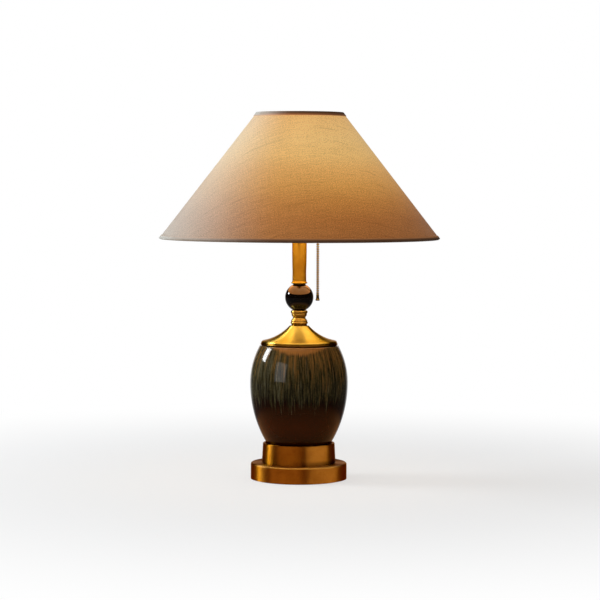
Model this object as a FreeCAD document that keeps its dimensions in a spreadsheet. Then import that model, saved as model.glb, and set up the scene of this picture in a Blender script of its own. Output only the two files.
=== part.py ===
import FreeCAD, Part
import math
import os
import Sketcher
from types import SimpleNamespace

# Table lamp: a glazed ceramic jar between brass mounts, a black ball, a slender neck, a conical fabric shade.
# Millimetres, +Z up, origin at the middle of the felt's underside, pull chain on +X, cord outlet on +Y.

DRIVING_SIZES = {
    # Base
    "base_radius": 72.1,
    "base_edge_radius": 2.2,
    "base_rim_gap": 1.0,
    "spun_wall": 1.5,
    "felt_inset": 3.0,
    "felt_thickness": 2.0,
    "weight_height": 21.3,
    "weight_gap": 0.1,
    "weight_web": 3.5,
    "nut_pocket_radius": 15.0,
    "slot_width": 18.0,
    # Cord outlet
    "outlet_height": 10.5,
    "outlet_bore_radius": 3.6,
    "grommet_neck_radius": 4.9,
    "grommet_flange_radius": 6.3,
    "grommet_flange_thickness": 1.6,
    "grommet_seat_gap": 0.4,
    "grommet_hole_gap": 0.1,
    # Terminal block
    "block_width": 15.0,
    "block_length": 18.0,
    "block_height": 12.0,
    "block_distance": 38.0,
    "terminal_spread": 4.0,
    "terminal_tube_radius": 2.1,
    "terminal_tube_wall": 0.8,
    "terminal_tube_length": 15.0,
    "terminal_screw_radius": 1.25,
    "terminal_screw_inset": 3.6,
    "terminal_gap": 0.05,
    # Threaded pipe and its fasteners
    "pipe_radius": 5.0,
    "pipe_bore_radius": 3.5,
    "pipe_tail": 1.0,
    "pipe_hole_gap": 0.15,
    "pipe_bevel": 0.5,
    "nut_across_flats": 17.0,
    "nut_height": 5.0,
    "washer_radius": 12.0,
    "washer_thickness": 1.5,
    "lock_washer_radius": 9.0,
    "lock_washer_thickness": 1.5,
    "lock_washer_split": 1.2,
    # Plinth
    "plinth_height": 29.7,
    "plinth_foot_radius": 55.4,
    "plinth_rim_radius": 53.9,
    "plinth_inner_radius": 51.5,
    "plinth_recess_radius": 50.5,
    "plinth_recess_depth": 4.0,
    "plinth_edge_radius": 0.8,
    "plinth_undercut_height": 1.4,
    "plinth_undercut_depth": 1.6,
    # Jar
    "jar_seat_thickness": 1.5,
    "jar_seat_inner_radius": 36.0,
    "jar_seat_outer_radius": 47.4,
    "jar_height": 149.2,
    "jar_belly_height": 93.1,
    "jar_belly_radius": 73.5,
    "jar_foot_radius": 48.0,
    "jar_rim_radius": 60.0,
    "jar_mouth_radius": 50.0,
    "jar_lip_rounding": 2.0,
    "jar_wall": 5.0,
    "jar_floor": 7.0,
    "jar_hole_radius": 8.0,
    "jar_foot_rounding": 1.5,
    # Cap on the jar
    "gasket_thickness": 0.8,
    "gasket_inner_radius": 50.6,
    "gasket_outer_radius": 56.2,
    "cap_height": 28.6,
    "cap_wall": 1.2,
    "cap_lip_radius": 57.8,
    "cap_bead_height": 2.7,
    "cap_bead_depth": 0.7,
    "cap_edge_rise": 0.75,
    "cap_lip_height": 6.4,
    "cap_shoulder_radius": 54.4,
    "cap_top_radius": 14.6,
    "cap_sweep_radius": 72.0,
    # Spool, ball and neck
    "spool_height": 23.0,
    "spool_foot_radius": 12.0,
    "spool_foot_height": 3.2,
    "spool_foot_hollow": 0.4,
    "spool_bead_height": 2.8,
    "spool_bead_depth": 1.0,
    "spool_step_radius": 11.2,
    "spool_step_height": 2.6,
    "spool_step_depth": 0.7,
    "spool_fillet_radius": 10.6,
    "spool_fillet_height": 1.4,
    "spool_fillet_depth": 0.35,
    "spool_cove_height": 4.6,
    "spool_cove_depth": 1.2,
    "spool_collar_radius": 11.2,
    "spool_collar_height": 3.6,
    "spool_collar_depth": 0.6,
    "spool_crown_radius": 11.6,
    "spool_crown_depth": 1.2,
    "ball_radius": 21.4,
    "ball_height": 39.4,
    "collar_height": 5.7,
    "collar_radius": 12.0,
    "collar_seat_radius": 9.6,
    "collar_seat_height": 1.1,
    "collar_rim_height": 1.8,
    "collar_rim_swell": 0.35,
    "collar_flare": 0.45,
    "collar_spigot_height": 5.0,
    "neck_height": 61.4,
    "neck_foot_radius": 10.45,
    "neck_waist_radius": 10.3,
    "neck_waist_height": 13.0,
    "neck_top_radius": 10.9,
    "neck_swell": 0.25,
    "neck_bore_radius": 8.9,
    "neck_fit_gap": 0.05,
    "check_ring_radius": 11.8,
    "check_ring_thickness": 1.5,
    # Harp saddle
    "saddle_width": 12.0,
    "saddle_thickness": 1.2,
    "saddle_post_height": 25.3,
    "saddle_peg_height": 12.0,
    "harp_spread": 28.5,
    # Lamp holder
    "holder_hub_radius": 8.0,
    "holder_hub_height": 8.0,
    "holder_cap_radius": 18.9,
    "holder_cap_height": 17.3,
    "holder_cap_skirt": 6.5,
    "holder_cap_foot": 1.2,
    "holder_cap_swell": 2.5,
    "holder_cap_wall": 0.8,
    "holder_shell_radius": 18.05,
    "holder_shell_wall": 0.6,
    "holder_shell_height": 43.0,
    "holder_shell_overlap": 6.4,
    "liner_wall": 0.7,
    "liner_gap": 0.1,
    "switch_radius": 16.4,
    "switch_height": 18.0,
    "switch_lift": 13.3,
    "switch_slot_width": 9.0,
    "switch_floor": 1.6,
    "post_radius": 2.0,
    "post_length": 4.6,
    "post_distance": 10.0,
    "drum_width": 4.0,
    "drum_distance": 3.0,
    "drum_gap": 0.4,
    "drum_tooth_depth": 0.9,
    "drum_teeth": 8,
    "drum_pin_radius": 1.0,
    "spring_radius": 2.6,
    "spring_width": 1.2,
    "screw_shell_radius": 13.7,
    "screw_shell_wall": 0.4,
    "screw_shell_height": 22.0,
    "contact_radius": 4.2,
    "contact_thickness": 0.5,
    "contact_rise": 1.0,
    # Leads inside the pipe
    "lead_radius": 1.1,
    "lead_spread": 1.6,
    "lead_bend": 5.4,
    "lead_short_bend": 2.4,
    "lead_turn_in": 12.0,
    # Chain guide and pull chain
    "chain_distance": 27.5,
    "guide_radius": 3.6,
    "guide_bore_radius": 2.8,
    "guide_bend": 5.0,
    "guide_drop": 15.0,
    "guide_lip": 0.9,
    "pull_travel": 10.0,
    "bead_radius": 2.3,
    "bead_height": 2.9,
    "bead_wall": 0.3,
    "bead_hole_radius": 0.55,
    "bead_shoulder_radius": 1.2,
    "bead_pitch": 3.47,
    "bead_count": 27,
    "top_bead_count": 3,
    "swivel_gap": 0.5,
    "link_radius": 0.4,
    "link_head_radius": 0.85,
    "link_head_height": 0.4,
    "link_head_gap": 0.35,
    "pendant_height": 10.0,
    "pendant_radius": 3.1,
    "pendant_neck_radius": 1.3,
    "pendant_shoulder_radius": 2.3,
    "pendant_shoulder_drop": 1.6,
    "pendant_rim_height": 2.2,
    "pendant_swell": 0.3,
    # Bulb
    "bulb_length": 78.0,
    "bulb_radius": 22.5,
    "bulb_wall": 0.8,
    "bulb_cap_radius": 13.1,
    "bulb_cap_wall": 0.4,
    "bulb_cap_height": 18.5,
    "bulb_cap_shoulder": 3.2,
    "bulb_thread_depth": 0.7,
    "bulb_thread_turns": 5,
    "bulb_insulator_height": 5.0,
    "bulb_insulator_radius": 7.0,
    "bulb_tip_radius": 4.6,
    "bulb_tip_height": 1.2,
    "bulb_throat_radius": 11.8,
    "bulb_throat_height": 5.0,
    "bulb_blend_radius": 24.0,
    "filament_radius": 0.9,
    "filament_length": 28.0,
    "filament_spread": 5.0,
    "stem_radius": 3.5,
    # Harp
    "harp_wire_radius": 1.5,
    "harp_leg": 16.0,
    "harp_swell": 66.0,
    "harp_width": 52.0,
    "harp_crown_radius": 46.0,
    "harp_eye_radius": 6.5,
    "harp_end_gap": 0.05,
    "sleeve_radius": 3.0,
    "sleeve_bore_radius": 1.7,
    "sleeve_height": 14.0,
    "sleeve_bead": 0.4,
    "stud_radius": 3.0,
    "stud_flange_radius": 6.0,
    "stud_flange_thickness": 2.0,
    "stud_length": 14.0,
    # Shade
    "shade_top_radius": 64.8,
    "shade_bottom_radius": 209.0,
    "shade_height": 186.4,
    "shade_rise": 28.9,
    "fabric_thickness": 0.6,
    "layer_gap": 0.1,
    "tape_thickness": 0.8,
    "tape_width": 7.0,
    "tape_rounding": 0.5,
    "top_wire_radius": 1.5,
    "bottom_wire_radius": 1.25,
    "wire_inset": 3.5,
    "wire_gap": 0.05,
    "seam_width": 12.0,
    "seam_thickness": 0.4,
    "hub_radius": 9.0,
    "hub_gap": 0.2,
    "arm_radius": 1.5,
    "arm_reach": 22.0,
    "arm_bend": 14.0,
    "arm_count": 3,
    # Finial
    "finial_flange_radius": 7.0,
    "finial_height": 22.0,
    "finial_knob_radius": 5.6,
    "finial_neck_radius": 4.2,
    "finial_bore_depth": 15.0,
    "overrun": 1.0,
}

FULL_TURN = 360

doc = FreeCAD.newDocument("table_lamp")
sheet = doc.addObject("Spreadsheet::Sheet", "Sizes")
for row, (name, value) in enumerate(DRIVING_SIZES.items(), start=1):
    sheet.set(f"A{row}", name)
    sheet.set(f"B{row}", str(value))
    sheet.setAlias(f"B{row}", name)
doc.recompute()


class Size:
    """A length with the text of the formula that it comes from."""

    def __init__(self, value, text=None):
        self.value = float(value)
        self.text = text or repr(value)

    def joined(self, other, sign, work, swapped=False):
        other = other if isinstance(other, Size) else Size(other)
        left, right = (other, self) if swapped else (self, other)
        return Size(work(left.value, right.value), f"({left.text} {sign} {right.text})")

    def __add__(self, other):
        return self.joined(other, "+", lambda a, b: a + b)

    def __sub__(self, other):
        return self.joined(other, "-", lambda a, b: a - b)

    def __mul__(self, other):
        return self.joined(other, "*", lambda a, b: a * b)

    def __truediv__(self, other):
        return self.joined(other, "/", lambda a, b: a / b)

    def __rmul__(self, other):
        return self.joined(other, "*", lambda a, b: a * b, swapped=True)

    def __neg__(self):
        return self * -1

    def root(self):
        return Size(math.sqrt(self.value), f"sqrt({self.text})")


ZERO = Size(0.0, "0")
s = SimpleNamespace(**{name: Size(sheet.get(name), f"Sizes.{name}") for name in DRIVING_SIZES})
pieces = []


# Outlines: a list of runs, each going on from the run before it to the point (x, y)

def line(x, y):
    return SimpleNamespace(x=x, y=y, turn=0, radius=None, rise=None)


def bow(x, y, radius, turn):
    """An arc of a given radius, turn 1 to the left and -1 to the right."""
    return SimpleNamespace(x=x, y=y, turn=turn, radius=radius, rise=None)


def swell(x, y, rise, turn):
    """An arc that stands a given rise off its chord."""
    return SimpleNamespace(x=x, y=y, turn=turn, radius=None, rise=rise)


def circle(x, y, radius):
    return SimpleNamespace(x=x, y=y, radius=radius)


def rectangle(left, right, foot, top):
    return [line(left, foot), line(right, foot), line(right, top), line(left, top)]


def polygon(points):
    return [line(x, y) for x, y in points]


def bind(thing, path, size):
    thing.setExpression(path, size.text)


def add_rule(sketch, rule, size=None):
    number = sketch.addConstraint(rule)
    if size is not None:
        bind(sketch, f"Constraints[{number}]", size)


def pin(sketch, geometry, end, x, y):
    for kind, axis, size in (("DistanceX", -2, x), ("DistanceY", -1, y)):
        if size is ZERO:
            add_rule(sketch, Sketcher.Constraint("PointOnObject", geometry, end, axis))
        else:
            add_rule(sketch, Sketcher.Constraint(kind, -1, 1, geometry, end, size.value), size)


def arc_radius(start, run):
    if run.radius is not None:
        return run.radius
    across = run.x - start.x
    along = run.y - start.y
    return ((across * across + along * along) / 4 + run.rise * run.rise) / (2 * run.rise)


def arc_middle(start, run, radius):
    """The middle point of the shorter arc, on the outer side of its turn."""
    across = run.x.value - start.x.value
    along = run.y.value - start.y.value
    chord = math.hypot(across, along)
    rise = radius.value - math.sqrt(max(radius.value ** 2 - (chord / 2) ** 2, 0))
    step = run.turn * rise / chord
    return (start.x.value + across / 2 + along * step, start.y.value + along / 2 - across * step)


def point(x, y, z=0):
    return FreeCAD.Vector(x, y, z)


def add_runs(sketch, runs, closed=True):
    """Adds the runs as lines and arcs, with every point and radius bound to its formula."""
    ends = []
    pairs = list(zip([runs[-1]] + runs[:-1], runs)) if closed else list(zip(runs[:-1], runs[1:]))
    for start, run in pairs:
        head = point(start.x.value, start.y.value)
        tail = point(run.x.value, run.y.value)
        if run.turn == 0:
            number = sketch.addGeometry(Part.LineSegment(head, tail), False)
            ends.append((number, 1, 2))
        else:
            radius = arc_radius(start, run)
            middle = point(*arc_middle(start, run, radius))
            first, last = (head, tail) if run.turn > 0 else (tail, head)
            number = sketch.addGeometry(Part.Arc(first, middle, last), False)
            ends.append((number, 1, 2) if run.turn > 0 else (number, 2, 1))
            add_rule(sketch, Sketcher.Constraint("Radius", number, radius.value), radius)
    for index, (start, run) in enumerate(pairs):
        number, first, last = ends[index]
        pin(sketch, number, first, start.x, start.y)
        if closed or index + 1 < len(ends):
            following = ends[(index + 1) % len(ends)]
            add_rule(sketch, Sketcher.Constraint("Coincident", number, last, following[0], following[1]))
        else:
            pin(sketch, number, last, run.x, run.y)


def add_circle(sketch, ring):
    centre = point(ring.x.value, ring.y.value)
    number = sketch.addGeometry(Part.Circle(centre, point(0, 0, 1), ring.radius.value), False)
    pin(sketch, number, 3, ring.x, ring.y)
    add_rule(sketch, Sketcher.Constraint("Radius", number, ring.radius.value), ring.radius)


def origin_feature(body, role):
    return next(feature for feature in body.Origin.OriginFeatures if feature.Role == role)


def draw(body, role, name, loops, lift=ZERO, closed=True):
    sketch = body.newObject("Sketcher::SketchObject", name)
    sketch.AttachmentSupport = [(origin_feature(body, role), "")]
    sketch.MapMode = "FlatFace"
    if lift is not ZERO:
        sketch.AttachmentOffset = FreeCAD.Placement(point(0, 0, lift.value), FreeCAD.Rotation())
        bind(sketch, "AttachmentOffset.Base.z", lift)
    for loop in loops:
        if isinstance(loop, list):
            add_runs(sketch, loop, closed)
        else:
            add_circle(sketch, loop)
    return sketch


# Features: what a body is made of

def new_body(label, kept=True):
    body = doc.addObject("PartDesign::Body", label)
    body.Label = label
    if kept:
        pieces.append(body)
    return body


def turn(body, name, outline, cut=False):
    """Turns an outline of radius and height round the body's Z axis."""
    sketch = draw(body, "XZ_Plane", f"{name}_outline", [outline])
    feature = body.newObject("PartDesign::Groove" if cut else "PartDesign::Revolution", name)
    feature.Profile = sketch
    feature.ReferenceAxis = (sketch, ["V_Axis"])
    feature.Angle = FULL_TURN
    return feature


def extrude(body, name, axis, loops, start, length, cut=False):
    """Pads or cuts from start along the positive axis; the loops lie in the other two axes, in order."""
    role, lift, forward = {
        "X": ("YZ_Plane", start, True),
        "Y": ("XZ_Plane", ZERO if start is ZERO else -start, False),
        "Z": ("XY_Plane", start, True),
    }[axis]
    sketch = draw(body, role, f"{name}_outline", loops, lift)
    feature = body.newObject("PartDesign::Pocket" if cut else "PartDesign::Pad", name)
    feature.Profile = sketch
    feature.Reversed = forward if cut else not forward
    feature.Length = length.value
    bind(feature, "Length", length)
    return feature


def sweep(body, name, path_role, path, profile_role, loops, lift):
    """Carries round loops along an open path of lines and arcs."""
    profile = draw(body, profile_role, f"{name}_section", loops, lift)
    spine = draw(body, path_role, f"{name}_path", [path], closed=False)
    feature = body.newObject("PartDesign::AdditivePipe", name)
    feature.Profile = profile
    feature.Spine = spine
    return feature


def place(thing, x=ZERO, y=ZERO, z=ZERO, rotation=None):
    thing.Placement = FreeCAD.Placement(point(x.value, y.value, z.value), rotation or FreeCAD.Rotation())
    for axis, size in (("x", x), ("y", y), ("z", z)):
        if size is not ZERO:
            bind(thing, f"Placement.Base.{axis}", size)


def repeat_round(body, name, feature, count):
    pattern = body.newObject("PartDesign::PolarPattern", name)
    pattern.Originals = [feature]
    pattern.Axis = (origin_feature(body, "Z_Axis"), [""])
    pattern.Angle = FULL_TURN
    pattern.Occurrences = int(count.value)
    bind(pattern, "Occurrences", count)
    body.Tip = pattern


def repeat_down(body, name, feature, pitch, count):
    pattern = body.newObject("PartDesign::LinearPattern", name)
    pattern.Originals = [feature]
    pattern.Direction = (origin_feature(body, "Z_Axis"), [""])
    pattern.Reversed = True
    length = pitch * (count - 1)
    pattern.Length = length.value
    bind(pattern, "Length", length)
    pattern.Occurrences = int(count.value)
    bind(pattern, "Occurrences", count)
    body.Tip = pattern


def group(label, members):
    compound = doc.addObject("Part::Compound", label)
    compound.Label = label
    compound.Links = members
    pieces.append(compound)


def ring(label, inner, outer, foot, top):
    body = new_body(label)
    turn(body, "ring", rectangle(inner, outer, foot, top))
    return body


# Heights above the table, worked out from the table up

felt_top = s.felt_thickness
weight_top = felt_top + s.weight_height
base_top = weight_top + s.spun_wall
pocket_ceiling = weight_top - s.weight_web
lock_washer_top = pocket_ceiling - s.washer_thickness
nut_top = lock_washer_top - s.lock_washer_thickness
nut_foot = nut_top - s.nut_height
pipe_foot = nut_foot - s.pipe_tail
plinth_top = base_top + s.plinth_height
plinth_floor = plinth_top - s.plinth_recess_depth
jar_foot = plinth_floor + s.jar_seat_thickness
belly = jar_foot + s.jar_belly_height
jar_top = jar_foot + s.jar_height
cap_foot = jar_top + s.gasket_thickness
cap_top = cap_foot + s.cap_height
spool_top = cap_top + s.spool_height
ball_top = spool_top + s.ball_height
collar_top = ball_top + s.collar_height
neck_top = collar_top + s.neck_height
saddle_foot = neck_top + s.check_ring_thickness
holder_foot = saddle_foot + s.saddle_thickness
pipe_top = holder_foot + s.holder_hub_height
post_top = holder_foot + s.saddle_post_height
pipe_hole = s.pipe_radius + s.pipe_hole_gap


# Base: felt, cast weight and spun brass cover

base_inner = s.base_radius - s.spun_wall
inner_rounding = s.base_edge_radius - s.spun_wall
slot_ceiling = s.outlet_height + s.grommet_flange_radius + s.grommet_seat_gap
block_foot = slot_ceiling - s.block_height
terminal_height = slot_ceiling - s.block_height / 2


def make_base():
    ring("felt_pad", ZERO, s.base_radius - s.felt_inset, ZERO, felt_top)

    weight = new_body("base_weight")
    weight_radius = base_inner - s.weight_gap
    turn(weight, "casting", [
        line(pipe_hole, pocket_ceiling),
        line(s.nut_pocket_radius, pocket_ceiling),
        line(s.nut_pocket_radius, felt_top),
        line(weight_radius, felt_top),
        line(weight_radius, weight_top - s.base_edge_radius),
        line(weight_radius - s.base_edge_radius, weight_top),
        line(pipe_hole, weight_top),
    ])
    slot_foot = felt_top - s.overrun
    slot = rectangle(-s.slot_width / 2, s.slot_width / 2, ZERO, weight_radius + s.overrun)
    extrude(weight, "cord_slot", "Z", [slot], slot_foot, slot_ceiling - slot_foot, cut=True)

    shell = new_body("base_shell")
    turn(shell, "spinning", [
        line(pipe_hole, weight_top),
        line(base_inner - inner_rounding, weight_top),
        bow(base_inner, weight_top - inner_rounding, inner_rounding, -1),
        line(base_inner, s.base_rim_gap),
        line(s.base_radius, s.base_rim_gap),
        line(s.base_radius, base_top - s.base_edge_radius),
        bow(s.base_radius - s.base_edge_radius, base_top, s.base_edge_radius, 1),
        line(pipe_hole, base_top),
    ])
    hole = circle(ZERO, s.outlet_height, s.grommet_neck_radius + s.grommet_hole_gap)
    extrude(shell, "outlet_hole", "Y", [hole], ZERO, s.base_radius + s.overrun, cut=True)

    grommet = new_body("cord_grommet")
    seat = base_inner - s.grommet_seat_gap
    inner_end = seat - s.grommet_flange_thickness
    outer_end = s.base_radius + s.grommet_flange_thickness
    turn(grommet, "moulding", [
        line(s.outlet_bore_radius, inner_end),
        line(s.grommet_flange_radius, inner_end),
        line(s.grommet_flange_radius, seat),
        line(s.grommet_neck_radius, seat),
        line(s.grommet_neck_radius, s.base_radius),
        line(s.grommet_flange_radius, s.base_radius),
        swell(s.outlet_bore_radius + s.grommet_hole_gap, outer_end, s.grommet_hole_gap * 4, 1),
        line(s.outlet_bore_radius, outer_end),
    ])
    place(grommet, z=s.outlet_height, rotation=FreeCAD.Rotation(point(1, 0, 0), -FULL_TURN / 4))


def make_terminals():
    """The block between the supply cord and the leads that go up the pipe."""
    block = new_body("terminal_block")
    near = s.block_distance - s.block_length / 2
    body_outline = rectangle(-s.block_width / 2, s.block_width / 2, near, near + s.block_length)
    extrude(block, "moulding", "Z", [body_outline], block_foot, s.block_height)
    sides = (-s.terminal_spread, s.terminal_spread)
    bores = [circle(x, terminal_height, s.terminal_tube_radius + s.terminal_gap) for x in sides]
    extrude(block, "tube_bores", "Y", bores, near - s.overrun, s.block_length + s.overrun * 2, cut=True)
    rows = (near + s.terminal_screw_inset, near + s.block_length - s.terminal_screw_inset)
    hole_foot = block_foot - s.overrun
    wells = [circle(x, y, s.terminal_screw_radius + s.terminal_gap) for x in sides for y in rows]
    extrude(block, "screw_holes", "Z", wells, hole_foot, terminal_height - hole_foot, cut=True)

    tubes = new_body("terminal_tubes")
    tube_start = s.block_distance - s.terminal_tube_length / 2
    sections = [circle(x, terminal_height, s.terminal_tube_radius) for x in sides]
    extrude(tubes, "rods", "Y", sections, tube_start, s.terminal_tube_length)
    bore = s.terminal_tube_radius - s.terminal_tube_wall
    holes = [circle(x, terminal_height, bore) for x in sides]
    start = tube_start - s.overrun
    extrude(tubes, "wire_bores", "Y", holes, start, s.terminal_tube_length + s.overrun * 2, cut=True)
    extrude(tubes, "screw_holes", "Z", wells, hole_foot, terminal_height - hole_foot, cut=True)

    screws = new_body("terminal_screws")
    shanks = [circle(x, y, s.terminal_screw_radius) for x in sides for y in rows]
    tip = terminal_height - s.lead_radius - s.terminal_gap
    extrude(screws, "shanks", "Z", shanks, block_foot, tip - block_foot)
    slots = [rectangle(x - s.terminal_screw_radius, x + s.terminal_screw_radius,
                       y - s.terminal_screw_radius / 4, y + s.terminal_screw_radius / 4)
             for x in sides for y in rows]
    depth = s.terminal_screw_radius / 2
    extrude(screws, "driver_slots", "Z", slots, hole_foot, s.overrun + depth, cut=True)


# Threaded pipe through the whole lamp, with the nut and washers that pull it tight

def make_pipe():
    pipe = new_body("lamp_pipe")
    rim = s.pipe_radius - s.pipe_bevel
    turn(pipe, "tube", [
        line(s.pipe_bore_radius, pipe_foot),
        line(rim, pipe_foot),
        line(s.pipe_radius, pipe_foot + s.pipe_bevel),
        line(s.pipe_radius, pipe_top - s.pipe_bevel),
        line(rim, pipe_top),
        line(s.pipe_bore_radius, pipe_top),
    ])
    ring("flat_washer", pipe_hole, s.washer_radius, lock_washer_top, pocket_ceiling)

    spring_washer = ring("lock_washer", pipe_hole, s.lock_washer_radius, nut_top, lock_washer_top)
    half_split = s.lock_washer_split / 2
    split = rectangle(-half_split, half_split, ZERO, s.lock_washer_radius + s.overrun)
    start = nut_top - s.overrun
    extrude(spring_washer, "split", "Z", [split], start, s.lock_washer_thickness + s.overrun * 2, cut=True)

    nut = new_body("pipe_nut")
    corner = s.nut_across_flats / math.sqrt(3)
    corners = [polar(corner, share / 6) for share in range(6)]
    extrude(nut, "hexagon", "Z", [polygon(corners)], nut_foot, s.nut_height)
    hole = circle(ZERO, ZERO, s.pipe_radius + s.neck_fit_gap)
    extrude(nut, "thread_bore", "Z", [hole], nut_foot - s.overrun, s.nut_height + s.overrun * 2, cut=True)


def polar(radius, turn_share):
    """A point at a radius, after a share of a full turn from the first axis."""
    angle = 2 * math.pi * turn_share
    return radius * math.cos(angle), radius * math.sin(angle)


# Plinth, jar and the cap that closes it

lower_run = s.jar_belly_height - s.jar_foot_rounding
lower_swell = s.jar_belly_radius - s.jar_foot_radius
lower_radius = (lower_run * lower_run + lower_swell * lower_swell) / (2 * lower_swell)
upper_run = s.jar_height - s.jar_belly_height - s.jar_lip_rounding
upper_swell = s.jar_belly_radius - s.jar_rim_radius
upper_radius = (upper_run * upper_run + upper_swell * upper_swell) / (2 * upper_swell)


def jar_inside(arc, height):
    """The jar's inner radius at a height, on the arc that runs a wall inside the outer one."""
    reach = arc - s.jar_wall
    rise = height - belly
    return s.jar_belly_radius - arc + (reach * reach - rise * rise).root()


def make_plinth():
    plinth = new_body("plinth")
    under = plinth_floor - s.spun_wall
    undercut = s.plinth_foot_radius - s.plinth_undercut_depth
    undercut_top = base_top + s.plinth_undercut_height
    turn(plinth, "spinning", [
        line(pipe_hole, under),
        line(s.plinth_inner_radius, under),
        line(s.plinth_inner_radius, base_top),
        line(undercut, base_top),
        line(undercut, undercut_top),
        line(s.plinth_foot_radius, undercut_top),
        line(s.plinth_rim_radius, plinth_top - s.plinth_edge_radius),
        bow(s.plinth_rim_radius - s.plinth_edge_radius, plinth_top, s.plinth_edge_radius, 1),
        line(s.plinth_recess_radius, plinth_top),
        line(s.plinth_recess_radius, plinth_floor),
        line(pipe_hole, plinth_floor),
    ])
    ring("jar_seat", s.jar_seat_inner_radius, s.jar_seat_outer_radius, plinth_floor, jar_foot)


def make_jar():
    jar = new_body("jar")
    floor = jar_foot + s.jar_floor
    lip_foot = jar_top - s.jar_wall
    turn(jar, "thrown_form", [
        line(s.jar_hole_radius, jar_foot),
        line(s.jar_foot_radius - s.jar_foot_rounding, jar_foot),
        bow(s.jar_foot_radius, jar_foot + s.jar_foot_rounding, s.jar_foot_rounding, 1),
        bow(s.jar_belly_radius, belly, lower_radius, 1),
        bow(s.jar_rim_radius, jar_top - s.jar_lip_rounding, upper_radius, 1),
        bow(s.jar_rim_radius - s.jar_lip_rounding, jar_top, s.jar_lip_rounding, 1),
        line(s.jar_mouth_radius, jar_top),
        line(s.jar_mouth_radius, lip_foot),
        line(jar_inside(upper_radius, lip_foot), lip_foot),
        bow(s.jar_belly_radius - s.jar_wall, belly, upper_radius - s.jar_wall, -1),
        bow(jar_inside(lower_radius, floor), floor, lower_radius - s.jar_wall, -1),
        line(s.jar_hole_radius, floor),
    ])
    ring("cap_gasket", s.gasket_inner_radius, s.gasket_outer_radius, jar_top, cap_foot)


def make_cap():
    cap = new_body("vase_cap")
    lip = s.cap_lip_radius - s.cap_bead_depth
    lip_inside = lip - s.cap_wall
    lip_top = cap_foot + s.cap_lip_height
    groove = cap_foot + s.cap_bead_height
    turn(cap, "spinning", [
        line(pipe_hole, cap_top - s.cap_wall),
        line(s.cap_top_radius, cap_top - s.cap_wall),
        bow(s.cap_shoulder_radius, lip_top - s.cap_wall, s.cap_sweep_radius + s.cap_wall, 1),
        line(lip_inside, lip_top - s.cap_wall),
        line(lip_inside, cap_foot),
        line(lip, cap_foot),
        swell(lip, groove, s.cap_bead_depth, 1),
        swell(s.cap_shoulder_radius, lip_top, s.cap_edge_rise, 1),
        bow(s.cap_top_radius, cap_top, s.cap_sweep_radius, -1),
        line(pipe_hole, cap_top),
    ])


# Spool, ball, collar and neck tube

def make_neck():
    spool = new_body("spool")
    bead_foot = cap_top + s.spool_foot_height
    bead_top = bead_foot + s.spool_bead_height
    step_top = bead_top + s.spool_step_height
    fillet_top = step_top + s.spool_fillet_height
    cove_top = fillet_top + s.spool_cove_height
    crown_foot = cove_top + s.spool_collar_height
    turn(spool, "turning", [
        line(pipe_hole, cap_top),
        line(s.spool_foot_radius, cap_top),
        swell(s.spool_foot_radius, bead_foot, s.spool_foot_hollow, -1),
        swell(s.spool_foot_radius, bead_top, s.spool_bead_depth, 1),
        swell(s.spool_step_radius, step_top, s.spool_step_depth, 1),
        swell(s.spool_fillet_radius, fillet_top, s.spool_fillet_depth, 1),
        swell(s.spool_fillet_radius, cove_top, s.spool_cove_depth, -1),
        swell(s.spool_collar_radius, crown_foot, s.spool_collar_depth, 1),
        swell(s.spool_crown_radius, spool_top, s.spool_crown_depth, 1),
        line(pipe_hole, spool_top),
    ])

    ball = new_body("ball")
    half = s.ball_height / 2
    flat = (s.ball_radius * s.ball_radius - half * half).root()
    turn(ball, "turning", [
        line(pipe_hole, spool_top),
        line(flat, spool_top),
        bow(flat, ball_top, s.ball_radius, 1),
        line(pipe_hole, ball_top),
    ])

    collar = new_body("neck_collar")
    seat_top = ball_top + s.collar_seat_height
    spigot = s.neck_bore_radius - s.neck_fit_gap
    spigot_top = collar_top + s.collar_spigot_height
    turn(collar, "turning", [
        line(pipe_hole, ball_top),
        line(s.collar_seat_radius, ball_top),
        line(s.collar_seat_radius, seat_top),
        line(s.collar_radius - s.collar_rim_swell, seat_top),
        swell(s.collar_radius - s.collar_rim_swell, seat_top + s.collar_rim_height, s.collar_rim_swell, 1),
        swell(s.neck_foot_radius, collar_top, s.collar_flare, -1),
        line(spigot, collar_top),
        line(spigot, spigot_top),
        line(pipe_hole, spigot_top),
    ])

    tube = new_body("neck_tube")
    turn(tube, "drawn_tube", [
        line(s.neck_bore_radius, collar_top),
        line(s.neck_foot_radius, collar_top),
        line(s.neck_waist_radius, collar_top + s.neck_waist_height),
        swell(s.neck_top_radius, neck_top, s.neck_swell, 1),
        line(s.neck_bore_radius, neck_top),
    ])

    check_ring = new_body("check_ring")
    spigot_foot = neck_top - s.collar_spigot_height
    turn(check_ring, "turning", [
        line(pipe_hole, spigot_foot),
        line(spigot, spigot_foot),
        line(spigot, neck_top),
        line(s.check_ring_radius, neck_top),
        line(s.check_ring_radius, saddle_foot),
        line(pipe_hole, saddle_foot),
    ])


# Harp saddle and lamp holder

switch_foot = holder_foot + s.switch_lift
switch_top = switch_foot + s.switch_height
holder_cap_top = holder_foot + s.holder_cap_height
shell_foot = holder_cap_top - s.holder_shell_overlap
shell_top = shell_foot + s.holder_shell_height
shell_inside = s.holder_shell_radius - s.holder_shell_wall
liner_outside = shell_inside - s.liner_gap
liner_inside = liner_outside - s.liner_wall
drum_radius = s.pull_travel * 2 / math.pi
drum_height = switch_foot + s.switch_floor + s.drum_gap + drum_radius
guide_height = drum_height + drum_radius
guide_mouth = guide_height - s.guide_drop
guide_hole = s.guide_radius + s.grommet_hole_gap


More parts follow.
